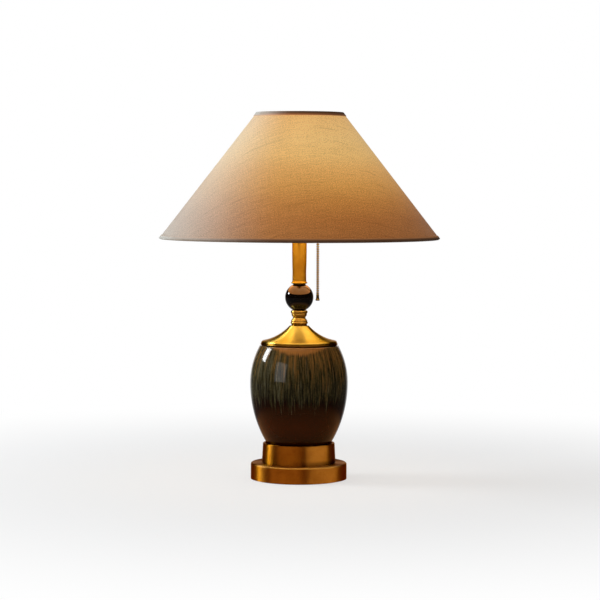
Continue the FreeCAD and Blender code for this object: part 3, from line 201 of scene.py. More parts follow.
def gridMesh(name, points, wrapRows=False, wrapColumns=False, flat=None):
    # A surface on a grid of points: each cell of four neighbours is one face, and a wrapped direction joins its last
    # points to its first. flat holds the place of every corner in the cut cloth.
    rows, columns = points.shape[:2]
    lastRow, lastColumn = rows - (not wrapRows), columns - (not wrapColumns)
    row, column = np.meshgrid(np.arange(lastRow), np.arange(lastColumn), indexing="ij")
    corners = [(row, column), (row, column + 1), (row + 1, column + 1), (row + 1, column)]
    faces = np.stack([(r % rows) * columns + c % columns for r, c in corners], -1).reshape(-1, 4)
    mesh = bpy.data.meshes.new(name)
    mesh.from_pydata(points.reshape(-1, 3), [], faces.tolist())
    mesh.polygons.foreach_set("use_smooth", np.ones(len(faces), bool))
    if flat is not None:
        layer = mesh.uv_layers.new(name="flat")
        places = np.stack([flat[r, c] for r, c in corners], -2).reshape(-1, 2)
        layer.data.foreach_set("uv", places.astype(np.float32).ravel())
    work = bmesh.new()
    work.from_mesh(mesh)
    bmesh.ops.recalc_face_normals(work, faces=work.faces)
    work.to_mesh(mesh)
    work.free()
    piece = bpy.data.objects.new(name, mesh)
    bpy.context.scene.collection.objects.link(piece)
    return piece


def turned(profile, angles):
    # Points of (radius, height), one for all angles or one for each, turned round the axis: x = r cos a,
    # y = r sin a, z = h
    radius, height = profile[..., 0], profile[..., 1]
    return np.stack([radius * np.cos(angles), radius * np.sin(angles), height + 0 * angles], -1)


def fullTurn(sides):  # angles once round, evenly spaced
    return np.linspace(0, 2 * np.pi, sides, endpoint=False)


# stage

stageLook = dict(
    floorReach=9.0, floorHole=1e-4, floorDrop=2e-4, floorRings=40, floorSides=96,
    floorWhite=(0.86, 0.86, 0.86), roughness=0.85, specular=0.2,
    glow=0.62, shadow=(0.25, 1.1),  # seen straight the floor glows, and less near the lamp, where a shadow shows
    behind=(0.75, 0.98),  # in a reflection it is pale only behind the lamp, where the photograph shows it
    tableBrown=(0.50, 0.21, 0.055), tableEdge=(0.25, 0.40), tableShare=0.9,
    roomDark=(0.030, 0.019, 0.012), roomPale=(1.0, 1.0, 1.0), ambient=0.30,
    paleRear=(0.85, 0.99), paleLow=(0.60, 0.25),  # the room in a reflection: dark, but pale low down at the rear
)


def floorDisc():
    # A flat disc: the radius of each ring grows as the square of its number
    radius = np.linspace(0.0, 1.0, stageLook["floorRings"]) ** 2 * stageLook["floorReach"] + stageLook["floorHole"]
    profile = np.stack([radius, np.full_like(radius, -stageLook["floorDrop"])], -1)
    return gridMesh("floor", turned(profile[:, None], fullTurn(stageLook["floorSides"])), wrapColumns=True)


def rays(nodes):  # 1 for rays that look at the stage: straight or through glass, and in a reflection
    path = nodes.tree.nodes.new("ShaderNodeLightPath")
    straight, mirrored, through = [Wire(nodes, path.outputs[f"Is {kind} Ray"])
                                   for kind in ("Camera", "Glossy", "Transmission")]
    return nodes.add("Clamp", {}, {0: straight + through}), mirrored


floor = floorDisc()

floorPaint = Finish("palePaint", roughness=stageLook["roughness"], specular=stageLook["specular"],
                    baseColor=stageLook["floorWhite"])
floorAt = Spot(floorPaint)
floorSeen, floorMirrored = rays(floorPaint)
away = floorPaint.step(floorAt.reach, *stageLook["shadow"])
glowing = floorPaint.add("Emission", {}, {"Color": (1, 1, 1, 1), "Strength": 1.0})
behind = floorPaint.step(floorAt.rear, *stageLook["behind"])
glowShare = floorSeen * (stageLook["glow"] + (1 - stageLook["glow"]) * away) + floorMirrored * away * behind
painted = Wire(floorPaint, floorPaint.shader.outputs[0])
blended = floorPaint.add("MixShader", {}, {0: glowShare, 1: painted, 2: glowing})
table = floorPaint.mix(stageLook["tableBrown"], stageLook["roomDark"],
                       floorPaint.step(floorAt.reach, *stageLook["tableEdge"]))
tableGlow = floorPaint.add("Emission", {}, {"Color": table, "Strength": 1.0})
tableShare = floorMirrored * (1 - behind) * stageLook["tableShare"]
blended = floorPaint.add("MixShader", {}, {0: tableShare, 1: blended, 2: tableGlow})
floorPaint.feed(floorPaint.tree.nodes["Material Output"].inputs["Surface"], blended)
floor.data.materials.append(floorPaint.material)

world = bpy.data.worlds.new("studio")
world.use_nodes = True
bpy.context.scene.world = world
sky = Nodes(world.node_tree)
skySeen, skyMirrored = rays(sky)
skyRear, skyUp = sky.split(sky.add("TexCoord", {}, {}, "Generated"))[1:]
pale = sky.step(skyRear, *stageLook["paleRear"]) * sky.step(skyUp, *stageLook["paleLow"])
room = sky.mix(stageLook["roomDark"], stageLook["roomPale"], pale)
shown = sky.mix((stageLook["ambient"],) * 3, room, skyMirrored)
background = sky.tree.nodes["Background"]
sky.feed(background.inputs["Color"], sky.mix(shown, (1, 1, 1), skySeen))
background.inputs["Strength"].default_value = 1.0


# lamps: the panes and the mirrored shade show only as reflections, and on chosen pieces

lampAim = (0, 0, 0.27)
footBrass = ("base_shell", "plinth")
lampSettings = dict(
    window=dict(place=(-2.05, 0.20, 1.60), width=0.85, height=0.66, power=31, colour=(0.86, 0.94, 1.0), gloss=False),
    pane=dict(place=(-2.05, 0.55, 1.40), width=0.62, height=1.10, power=60, colour=(0.97, 0.99, 1.0),
              diffuse=False, notOn=footBrass),
    softbox=dict(place=(-1.55, -1.60, 0.95), width=0.85, height=1.30, power=6.5, colour=(0.97, 0.98, 1.0),
                 gloss=False),
    fill=dict(place=(1.90, -1.40, 1.10), width=1.20, height=1.20, power=2.5, colour=(1.0, 0.90, 0.78), gloss=False),
    softPane=dict(place=(-1.50, -1.50, 0.70), width=1.05, height=1.05, power=9, colour=(0.97, 0.98, 1.0),
                  diffuse=False, only=("jar",)),
    tablePane=dict(place=(-0.85, -1.35, 0.35), width=2.60, height=0.60, power=8.5, colour=(1.0, 0.66, 0.28),
                   diffuse=False, only=footBrass),
    brassPane=dict(place=(-2.05, 0.72, 0.80), width=0.40, height=1.30, power=25, colour=(0.92, 1.0, 0.90),
                   diffuse=False, only=footBrass),
    warmPane=dict(place=(1.20, -0.58, 0.40), width=2.30, height=0.80, power=14, colour=(1.0, 0.90, 0.70),
                  diffuse=False, only=footBrass),
    shadeMirror=dict(place=(0, 0, 0.3625), width=0.41, height=0.41, power=1.75, colour=(1.0, 0.31, 0.045),
                     diffuse=False, round=True, only=("ball",)),
    shadeGlow=dict(place=(0, 0, 0.3630), width=0.41, height=0.41, power=0.50, colour=(1.0, 0.75, 0.42), round=True,
                   only=("vase_cap", "spool", "neck_collar", "neck_tube", "jar", "pull_chain", "chain_pendant")),
)
for name, lamp in lampSettings.items():
    data = bpy.data.lights.new(name, "AREA")
    data.shape = "DISK" if lamp.get("round") else "RECTANGLE"
    data.size = lamp["width"]
    data.size_y = lamp["height"]
    data.energy = lamp["power"]
    data.color = lamp["colour"]
    holder = bpy.data.objects.new(name, data)
    bpy.context.scene.collection.objects.link(holder)
    holder.visible_diffuse = lamp.get("diffuse", True)
    holder.visible_glossy = lamp.get("gloss", True)
    holder.visible_camera = holder.visible_transmission = False
    pieces = lamp.get("only", lamp.get("notOn"))
    if pieces:
        receivers = bpy.data.collections.new(name + "Receivers")
        for piece in pieces:
            receivers.objects.link(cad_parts[piece])
        for member in receivers.collection_objects:
            member.light_linking.link_state = "INCLUDE" if "only" in lamp else "EXCLUDE"
        holder.light_linking.receiver_collection = receivers
    aim = Vector(lampAim) - Vector(lamp["place"])
    holder.matrix_world = Matrix.Translation(lamp["place"]) @ aim.to_track_quat("-Z", "Y").to_matrix().to_4x4()
print("stage and lamps set")


# turned and spun metals

latheLook = dict(
    edgeTint=(0.50, 0.28, 0.12),  # old lacquer darkens brass where it turns away
    brushed=0.95, brushedWay=0.25,
    wander=0.5, drift=0.4, rings=(1.0, 3.0, 0.7), cloud=(38.0, 3.0, 0.6), speck=(420.0, 2.0, 0.6),
    cloudShare=0.75, speckShare=0.25, worn=(0.38, 0.66), ringTone=0.8, ringGloss=0.5, wornGloss=0.05,
    bump=(0.22, 0.00012),
    # the dark tone paints shade in hollows and at feet; the pale one paints a highlight on an edge, with less metal
    paintedShade=(0.085, 0.030, 0.004), paintedShadeShare=0.85, paintedHighlight=(0.66, 0.32, 0.060), highlightMatte=0.75,
)


def lathed(name, colour, dark, roughness, lines, patina, hollow=None, low=None, lee=None, shelf=None):
    # Fine rings: noise that changes fast with the distance from the axis and the height, and slowly round it. Slow
    # noise gives dark patches of age. Painted shade darkens the hollows, by the distance, and the foot, by the
    # height, and with lee only the side away from the window. A painted highlight, pale and less metallic, lies on an
    # edge where steps by distance, height and facing all rise.
    look = latheLook
    finish = Finish(name, metallic=1.0, anisotropic=look["brushed"], anisotropicRotation=look["brushedWay"],
                    specularTint=look["edgeTint"])
    at = Spot(finish)
    rings = finish.noise(finish.vector(at.reach * lines + at.right * look["wander"],
                                       at.z * lines + at.rear * look["wander"], at.right * look["drift"]),
                         *look["rings"])
    cloud = finish.noise(finish.place(), *look["cloud"])
    speck = finish.noise(finish.place(), *look["speck"])
    worn = finish.step(cloud * look["cloudShare"] + speck * look["speckShare"], *look["worn"])
    tone = finish.mix(colour, dark, worn * patina + (rings - 0.5) * patina * look["ringTone"])
    for measure, ends in ((at.reach, hollow), (at.z, low)):
        # painted shade: darker in the hollows, at the foot, and with lee only on the side away from the window
        if ends:
            share = finish.step(measure, *ends) * look["paintedShadeShare"]
            tone = finish.mix(tone, look["paintedShade"], share * finish.step(at.right, *lee) if lee else share)
    # painted highlight: the front of the base's top edge is pale and less metallic
    if shelf:
        paintedHighlight = (finish.step(at.reach, *shelf["out"]) * finish.step(at.z, *shelf["up"])
                  * finish.step(at.rear, *shelf["front"]))
        tone = finish.mix(tone, look["paintedHighlight"], paintedHighlight)
        finish.set("metallic", 1.0 - paintedHighlight * look["highlightMatte"])
    finish.set("baseColor", tone)
    finish.set("roughness", roughness + (rings - 0.5) * roughness * look["ringGloss"] + worn * look["wornGloss"])
    finish.set("normal", finish.bump(rings, *look["bump"]))
    return finish


antique = dict(colour=(0.36, 0.148, 0.021), dark=(0.25, 0.088, 0.008), roughness=0.40, lines=5200, patina=0.5)
lathedLooks = dict(
    # painted highlight along the front of the base's top edge
    baseBrass=(dict(antique, shelf=dict(out=(0.0672, 0.0690), up=(0.0226, 0.0234), front=(-0.30, -0.75))),
               ["base_shell"]),
    # painted shade at the plinth's foot, on the side away from the window
    plinthBrass=(dict(antique, low=(0.0335, 0.0275), lee=(-0.60, 0.90)), ["plinth"]),
    # painted shade under the cap's rolled lip
    capBrass=(dict(colour=(0.60, 0.45, 0.105), dark=(0.50, 0.25, 0.030), roughness=0.30, lines=4200, patina=0.30,
                   low=(0.2085, 0.2050)), ["vase_cap"]),
    # painted shade in the spool's hollow waist and at its foot
    spoolBrass=(dict(colour=(0.66, 0.41, 0.095), dark=(0.30, 0.12, 0.012), roughness=0.28, lines=4200, patina=0.30,
                     hollow=(0.0100, 0.0086), low=(0.2352, 0.2330)), ["spool"]),
    neckBrass=(dict(colour=(0.66, 0.34, 0.032), dark=(0.38, 0.13, 0.007), roughness=0.38, lines=4200, patina=0.35),
               ["neck_collar", "neck_tube", "check_ring"]),
    holderBrass=(dict(colour=(0.62, 0.40, 0.12), dark=(0.36, 0.20, 0.05), roughness=0.32, lines=3600, patina=0.4),
                 ["holder_cap", "holder_shell"]),
    finialBrass=(dict(colour=(0.74, 0.44, 0.09), dark=(0.45, 0.22, 0.03), roughness=0.16, lines=5200, patina=0.3),
                 ["finial"]),
)
for name, (look, pieces) in lathedLooks.items():
    lathed(name, **look).cover(*pieces)
print("turned brass finished")


# the chain's beads

# dark is the painted shade in the gaps between the beads
chainLook = dict(line=0.0275, bead=0.0020, gap=0.0014, colour=(0.33, 0.22, 0.075), dark=(0.060, 0.030, 0.010),
                 edgeTint=(0.15, 0.08, 0.03), speck=(900.0, 2.0, 0.5), gapShadeShare=0.9, speckShare=0.1,
                 roughness=0.24, speckGloss=0.08, gapGloss=0.2, bump=(0.15, 0.00008))


def beadBrass():
    # Plated beads: bright, with painted shade in the gaps between them, by the distance from the chain's own upright
    # line
    look = chainLook
    finish = Finish("beadBrass", metallic=1.0, specularTint=look["edgeTint"])
    x, y = finish.split(finish.place())[:2]
    speck = finish.noise(finish.place(), *look["speck"])
    gap = finish.step(finish.length(x - look["line"], y), look["bead"], look["gap"])
    finish.set("baseColor", finish.mix(look["colour"], look["dark"],
                                       gap * look["gapShadeShare"] + speck * look["speckShare"]))
    finish.set("roughness", look["roughness"] + speck * look["speckGloss"] + gap * look["gapGloss"])
    finish.set("normal", finish.bump(speck, *look["bump"]))
    return finish


beadBrass().cover("chain_top", "chain_swivel", "pull_chain", "chain_pendant")


# small metal, plastic, rubber and card

castLook = dict(cloudScale=0.12, cloud=(3.0, 0.6), speck=(2.0, 0.5), cloudShare=0.6, speckShare=0.4,
                worn=(0.35, 0.7), speckGloss=0.4, bump=(0.15, 0.00008))


def cast(name, colour, dark, roughness, grain, patina, **sockets):
    # An even grain of fine noise, slow noise for darker patches, and a gloss that wobbles with the grain
    look = castLook
    finish = Finish(name, **sockets)
    cloud = finish.noise(finish.place(), grain * look["cloudScale"], *look["cloud"])
    speck = finish.noise(finish.place(), grain, *look["speck"])
    worn = finish.step(cloud * look["cloudShare"] + speck * look["speckShare"], *look["worn"])
    finish.set("baseColor", finish.mix(colour, dark, worn * patina))
    finish.set("roughness", roughness + (speck - 0.5) * roughness * look["speckGloss"])
    finish.set("normal", finish.bump(speck, *look["bump"]))
    return finish


castLooks = dict(
    guideBrass=(dict(colour=(0.60, 0.38, 0.11), dark=(0.30, 0.17, 0.04), roughness=0.30, grain=700, patina=0.5,
                     metallic=1.0),
                ["chain_guide", "harp_saddle", "harp", "harp_sleeve_rear", "harp_sleeve_front", "harp_stud"]),
    contactBrass=(dict(colour=(0.70, 0.50, 0.20), dark=(0.45, 0.28, 0.08), roughness=0.28, grain=800, patina=0.4,
                       metallic=1.0),
                  ["terminal_tubes", "terminal_screws", "terminal_posts", "centre_contact", "screw_shell"]),
    zincSteel=(dict(colour=(0.50, 0.50, 0.49), dark=(0.28, 0.27, 0.25), roughness=0.34, grain=650, patina=0.5,
                    metallic=1.0),
               ["lamp_pipe", "flat_washer", "lock_washer", "pipe_nut", "drum_pin", "return_spring"]),
    frameWire=(dict(colour=(0.62, 0.52, 0.34), dark=(0.34, 0.26, 0.15), roughness=0.30, grain=650, patina=0.4,
                    metallic=1.0),
               ["shade_spider", "shade_top_ring", "shade_bottom_ring"]),
    bulbMetal=(dict(colour=(0.66, 0.65, 0.62), dark=(0.40, 0.38, 0.34), roughness=0.27, grain=800, patina=0.4,
                    metallic=1.0),
               ["bulb_cap", "bulb_tip"]),
    blackIron=(dict(colour=(0.035, 0.033, 0.031), dark=(0.10, 0.05, 0.03), roughness=0.62, grain=520, patina=0.35),
               ["base_weight"]),
    phenolic=(dict(colour=(0.020, 0.018, 0.016), dark=(0.045, 0.035, 0.030), roughness=0.38, grain=500, patina=0.5),
              ["switch_body", "switch_drum"]),
    ivoryPlastic=(dict(colour=(0.72, 0.70, 0.62), dark=(0.58, 0.53, 0.42), roughness=0.42, grain=400, patina=0.4),
                  ["terminal_block"]),
    softRubber=(dict(colour=(0.022, 0.021, 0.020), dark=(0.055, 0.052, 0.048), roughness=0.72, grain=600,
                     patina=0.5),
                ["cord_grommet", "jar_seat", "cap_gasket"]),
    fibreCard=(dict(colour=(0.17, 0.13, 0.09), dark=(0.09, 0.065, 0.045), roughness=0.85, grain=900, patina=0.7),
               ["shell_liner"]),
    leadSleeve=(dict(colour=(0.19, 0.11, 0.05), dark=(0.10, 0.055, 0.025), roughness=0.50, grain=500, patina=0.4),
                ["inner_leads"]),
    blackGlass=(dict(colour=(0.012, 0.012, 0.014), dark=(0.03, 0.03, 0.03), roughness=0.12, grain=500, patina=0.4),
                ["bulb_insulator"]),
)
for name, (look, pieces) in castLooks.items():
    cast(name, **look).cover(*pieces)
print("small metal and plastics finished")


# bulb

bulbLook = dict(
    glass=(1.0, 0.90, 0.74), neckGlass=(0.86, 0.72, 0.52), warm=(1.0, 0.62, 0.28), neckWarm=(0.35, 0.16, 0.04),
    strength=1.6, clear=0.25, ior=1.45, glowFrom=0.4151, glowRise=0.022, neckShare=0.7, mottleShare=0.08,
    mottle=(700.0, 2.0, 0.5), roughness=0.42, mottleGloss=0.1, bump=(0.1, 0.00006),
)
filamentLook = dict(colour=(1.0, 0.75, 0.35), cool=(1.0, 0.55, 0.18), hot=(1.0, 0.80, 0.45), grain=300.0,
                    roughness=0.5, strength=6.0)


def frostedGlass():
    # The glow and the colour change by a smooth step of the height over the neck of the glass
    look = bulbLook
    frosted = Finish("frostedGlass", transmissionWeight=look["clear"], ior=look["ior"],
                     emissionStrength=look["strength"])
    up = frosted.step(Spot(frosted).z, look["glowFrom"], look["glowFrom"] + look["glowRise"])
    mottle = frosted.noise(frosted.place(), *look["mottle"])
    frosted.set("baseColor", frosted.mix(look["glass"], look["neckGlass"],
                                         (1 - up) * look["neckShare"] + mottle * look["mottleShare"]))
    frosted.set("emissionColor", frosted.mix(look["neckWarm"], look["warm"], up))
    frosted.set("roughness", look["roughness"] + mottle * look["mottleGloss"])
    frosted.set("normal", frosted.bump(mottle, *look["bump"]))
    return frosted


frostedGlass().cover("bulb_glass")
hot = Finish("hotFilament", baseColor=filamentLook["colour"], roughness=filamentLook["roughness"],
             emissionStrength=filamentLook["strength"])
hot.set("emissionColor", hot.mix(filamentLook["cool"], filamentLook["hot"],
                                 hot.noise(hot.place(), filamentLook["grain"])))
hot.cover("bulb_filament")
print("bulb finished")


# glazed ceramics

glazeLook = dict(
    bark=(0.006, 0.004, 0.0015), olive=(0.047, 0.038, 0.013), amber=(0.180, 0.084, 0.022), moss=(0.135, 0.128, 0.080),
    chocolate=(0.032, 0.0045, 0.0003), umber=(0.0045, 0.0008, 0.0001), rim=(0.27, 0.115, 0.032),
    # fine, wide, hair and ripple: how fast each changes round the jar and up it, its scale, detail and roughness
    fine=(34.0, 20.0, 1.3, 4.0, 0.62), wide=(11.0, 5.0, 1.0, 3.0, 0.55), hair=(95.0, 45.0, 1.0, 3.0, 0.65),
    ripple=(5.0, 22.0, 1.0, 2.0, 0.5),
    runs=15.0, runNoise=(1.0, 3.0, 0.7), speck=(620.0, 2.0, 0.6),
    fineShare=0.36, hairShare=0.50, speckShare=0.14,
    # painted light: the glaze is lighter on the window's side
    liftHigh=(0.162, 0.186), liftHighBy=0.026, paintedWindowLight=(-0.30, -0.90), paintedWindowLightBy=0.016,
    sinkLow=(0.168, 0.112), sinkLowBy=0.055, warmStops=(0.42, 0.50, 0.60), coolStops=(0.41, 0.50, 0.60),
    coolBelow=0.164, coolFall=3.0, coolLean=0.10, cool=(0.44, 0.62), barkPatch=(0.46, 0.66), barkShare=0.55,
    dripEdge=0.1195, dripReach=0.0260, dripSpread=3.0, dripHair=(0.58, 0.68), dripHairBy=0.012,
    fadeBelow=0.0060, fadeAbove=1.6,
    umberHigh=(0.077, 0.118), umberHighBy=0.8, umberLow=(0.082, 0.060), umberLowBy=0.6,
    # the rim band, in the rim colour, is partly bare brown glaze and partly a painted reflection of the lit shade
    rimFrom=(0.1885, 0.1935), rimHair=0.012, rimWide=0.008, rimReflectionArch=0.024, rimShare=0.45, rimFine=0.8,
    ior=1.36, specular=0.4, roughness=0.055, fineGloss=0.03, fineRise=0.5, rippleRise=1.6, bump=(0.10, 0.0006),
)


def dripGlaze():
    # Runny glaze: noise drawn out upright gives thin streaks, coloured by a ramp of its value, warm or cool by slower
    # noise and height, lighter toward the top, and lighter on the window's side by painted light. Runs end where the
    # height passes an edge that noise moves round the jar. Below them is chocolate that darkens both ways, and at the
    # top a brown band that is partly bare glaze and partly a painted reflection of the lit shade.
    look = glazeLook
    glaze = Finish("dripGlaze", ior=look["ior"], specular=look["specular"])
    at = Spot(glaze)
    fine, wide, hair, ripple = [glaze.drumNoise(at, *look[key]) for key in ("fine", "wide", "hair", "ripple")]
    runs = glaze.noise(glaze.vector(at.right * look["runs"], at.rear * look["runs"], 0.0), *look["runNoise"])
    speck = glaze.noise(glaze.place(), *look["speck"])
    # lighter toward the top, and lighter on the window's side by painted light
    lift = (glaze.step(at.z, *look["liftHigh"]) * look["liftHighBy"]
            + glaze.step(at.right, *look["paintedWindowLight"]) * look["paintedWindowLightBy"])
    thread = (fine * look["fineShare"] + hair * look["hairShare"] + speck * look["speckShare"]
              - glaze.step(at.z, *look["sinkLow"]) * look["sinkLowBy"] + lift)
    warm = glaze.ramp(thread, *zip(look["warmStops"], (look["bark"], look["olive"], look["amber"])))
    cool = glaze.ramp(thread, *zip(look["coolStops"], (look["bark"], look["olive"], look["moss"])))
    coolness = wide + (look["coolBelow"] - at.z) * look["coolFall"] - at.right * look["coolLean"]
    body = glaze.mix(warm, cool, glaze.step(coolness, *look["cool"]))
    streaked = glaze.mix(body, look["bark"], glaze.step(wide, *look["barkPatch"]) * look["barkShare"])
    edge = (look["dripEdge"] + (0.5 - runs) * look["dripReach"] * look["dripSpread"]
            - glaze.step(hair, *look["dripHair"]) * look["dripHairBy"])
    above = glaze.step(at.z - edge, -look["fadeBelow"], look["fadeBelow"] * look["fadeAbove"])
    dark = glaze.mix(look["chocolate"], look["umber"], glaze.step(at.z, *look["umberHigh"]) * look["umberHighBy"])
    dark = glaze.mix(dark, look["umber"], glaze.step(at.z, *look["umberLow"]) * look["umberLowBy"])
    upper = glaze.mix(dark, streaked, above)
    # rim band: partly bare brown glaze, partly painted reflection of the lit shade, reaching lower at front and back
    rimHeight = (at.z + (hair - 0.5) * look["rimHair"] + (wide - 0.5) * look["rimWide"]
                 - at.right * at.right * look["rimReflectionArch"])
    rim = glaze.step(rimHeight, *look["rimFrom"])
    glaze.set("baseColor", glaze.mix(upper, look["rim"], rim * (look["rimShare"] + fine * look["rimFine"])))
    glaze.set("roughness", look["roughness"] + fine * look["fineGloss"])
    glaze.set("normal", glaze.bump(fine * above * look["fineRise"] + ripple * look["rippleRise"], *look["bump"]))
    return glaze


ballLook = dict(dark=(0.0010, 0.0008, 0.0008), pale=(0.0035, 0.0018, 0.0012), specular=0.5, ior=1.50,
                mottle=(160.0, 3.0, 0.6), roughness=0.045, mottleGloss=0.03, wave=60.0, bump=(0.05, 0.0004))

dripGlaze().cover("jar")
ballGlaze = Finish("blackGlaze", specular=ballLook["specular"], ior=ballLook["ior"])
ballMottle = ballGlaze.noise(ballGlaze.place(), *ballLook["mottle"])
ballGlaze.set("baseColor", ballGlaze.mix(ballLook["dark"], ballLook["pale"], ballMottle))
ballGlaze.set("roughness", ballLook["roughness"] + ballMottle * ballLook["mottleGloss"])
ballGlaze.set("normal", ballGlaze.bump(ballGlaze.noise(ballGlaze.place(), ballLook["wave"]), *ballLook["bump"]))
ballGlaze.cover("ball")
print("glazes finished")


# shade: the cone that cloth, seam and tapes follow

cone = dict(topRadius=0.0648, bottomRadius=0.2090, top=0.54875, height=0.1864, cloth=0.0006, gap=0.0001,
            grainTurn=-75.0, rows=44, sides=384)
coneRun = cone["bottomRadius"] - cone["topRadius"]
slant = math.hypot(coneRun, cone["height"])
apexDown = cone["topRadius"] / coneRun * slant  # slant distance from the apex to the top edge
grain = math.radians(cone["grainTurn"])


def onCone(down, out):
    # (radius, height) of a point: down along the slope from the top edge, out square to the cloth
    radius = cone["topRadius"] + (down * coneRun + out * cone["height"]) / slant
    return np.stack([radius, cone["top"] - (down * cone["height"] - out * coneRun) / slant], -1)


def cutCloth(down, angles):
    # Place in the flat cut: the cone rolled out, distance from the apex against angle times the cone's narrowness
    distance = apexDown + down[:, None]
    opened = (angles - grain)[None, :] * coneRun / slant
    return np.stack([distance * np.sin(opened), -distance * np.cos(opened)], -1)


def clothShell():
    # The outer cloth: straight down the outer face from the top edge to the bottom one and back up the inner face,
    # turned once round from the seam at the rear
    along = np.linspace(0, slant, cone["rows"])
    down = np.concatenate([along, along[::-1]])
    out = np.concatenate([np.zeros(cone["rows"]), np.full(cone["rows"], -cone["cloth"])])
    angles = np.pi / 2 + np.linspace(0, 2 * np.pi, cone["sides"] + 1)
    flat = cutCloth(np.append(down, down[0]), angles - 2 * np.pi)
    return gridMesh("shadeCloth", turned(onCone(down, out)[:, None], angles[:-1]), True, True, flat)


shadeCloth = clothShell()
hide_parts("shade_fabric")
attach(shadeCloth, "shade")

seamLook = dict(width=0.0120, thick=0.0004, margin=0.0078, rows=90, sides=28, squareSides=0.35, squareTop=0.5,
                widthShare=0.995, thickShare=0.95, wave=0.05, waves=260, edgeWave=0.01, edgeWaves=410)


def seamStrip():
    # A folded strip over the join: across it the section is a low arch, a circle squared by small powers of its
    # sine and cosine, and it is carried down the slope
    look = seamLook
    down = np.linspace(look["margin"], slant - look["margin"], look["rows"])
    turn = fullTurn(look["sides"])
    across = np.sign(np.cos(turn)) * np.abs(np.cos(turn)) ** look["squareSides"]
    across *= look["width"] / 2 * look["widthShare"]
    up = 0.5 + 0.5 * np.sign(np.sin(turn)) * np.abs(np.sin(turn)) ** look["squareTop"]
    wave = 1 + look["wave"] * np.sin(down * look["waves"])[:, None]
    out = cone["gap"] + look["thick"] * up[None, :] * np.where(up > 0.5, wave, 1.0) * look["thickShare"]
    middle = onCone(down[:, None] + 0 * out, out)
    side = across[None, :] * (1 - look["edgeWave"] * np.cos(down * look["edgeWaves"]))[:, None]
    points = np.stack([side, np.sqrt(middle[..., 0] ** 2 - side ** 2), middle[..., 1]], -1)
    ends = [end.mean(1, keepdims=True).repeat(len(turn), 1) for end in (points[:1], points[-1:])]
    points = np.concatenate([ends[0], points, ends[1]])
    length = np.concatenate([down[:1], down, down[-1:]])[:, None]
    flat = np.stack([np.append(across, across[0])[None, :] + 0 * length, length + 0 * np.append(turn, 0)], -1)
    return gridMesh("seamTape", points, False, True, flat)


seamTape = seamStrip()
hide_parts("seam_strip")
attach(seamTape, "shade")

tapeLook = dict(thick=0.0008, thickShare=0.96, topWidth=0.0070, bottomWidth=0.0050, legRows=12, bendRows=13,
                bendShare=0.9, endThick=0.55, sides=256, stillWidth=0.003,
                wobbles=((0.012, 23, 0.0), (0.010, 41, 1.3)))


def edgeTape(name, edge, way, wide):
    # Tape folded over an edge: a U path up the outside, over the edge and down the inside, with half the thickness
    # set off square to it on either side and thinner ends, turned round the axis. Its width wobbles by two sines.
    # edge is the fold's distance down the slope, and the tape runs on down where way is 1, back up where it is -1.
    look = tapeLook
    half = look["thick"] * look["thickShare"] / 2
    outside = cone["gap"] + look["thick"] / 2
    inside = -(cone["cloth"] * 2 + cone["gap"] * 2 + look["thick"] / 2)
    middle, spread = (outside + inside) / 2, (outside - inside) / 2
    bend = np.linspace(0, np.pi, look["bendRows"])[1:-1]
    leg, width = look["legRows"], wide - half
    down = np.concatenate([np.linspace(width, 0, leg), -look["bendShare"] * spread * np.sin(bend),
                           np.linspace(0, width, leg)])
    out = np.concatenate([np.full(leg, outside), middle + spread * np.cos(bend), np.full(leg, inside)])
    path = np.stack([np.maximum(down, -outside), out], -1)
    along = np.gradient(path, axis=0)
    along /= np.linalg.norm(along, axis=1, keepdims=True)
    square = np.stack([-along[:, 1], along[:, 0]], -1)
    body = np.full((len(path), 1), half)
    body[[0, -1]] *= look["endThick"]
    loop = np.concatenate([path + square * body, (path - square * body)[::-1]])
    angles = np.linspace(0, 2 * np.pi, look["sides"] + 1)
    wobble = 1 + sum(size * np.sin(angles[:-1] * waves + start) for size, waves, start in look["wobbles"])
    beside = loop[:, 0, None]
    downAround = edge + way * beside * np.where(beside > look["stillWidth"], wobble[None, :], 1.0)
    points = turned(onCone(downAround, loop[:, 1, None] + 0 * downAround), angles[:-1])
    steps = np.linalg.norm(np.diff(np.append(loop, loop[:1], 0), axis=0), axis=1)
    length = np.concatenate([[0], np.cumsum(steps)])[:, None]
    radius = onCone(np.array(edge), np.array(0.0))[0]
    flat = np.stack([angles[None, :] * radius + 0 * length, length + 0 * angles], -1)
    return gridMesh(name, points, True, True, flat)


topTape = edgeTape("topTape", 0.0, 1, tapeLook["topWidth"])
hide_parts("top_trim")
bottomTape = edgeTape("bottomTape", slant, -1, tapeLook["bottomWidth"])
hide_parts("bottom_trim")
for tape in (topTape, bottomTape):
    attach(tape, "shade")


# shade: cloth, tape and lining

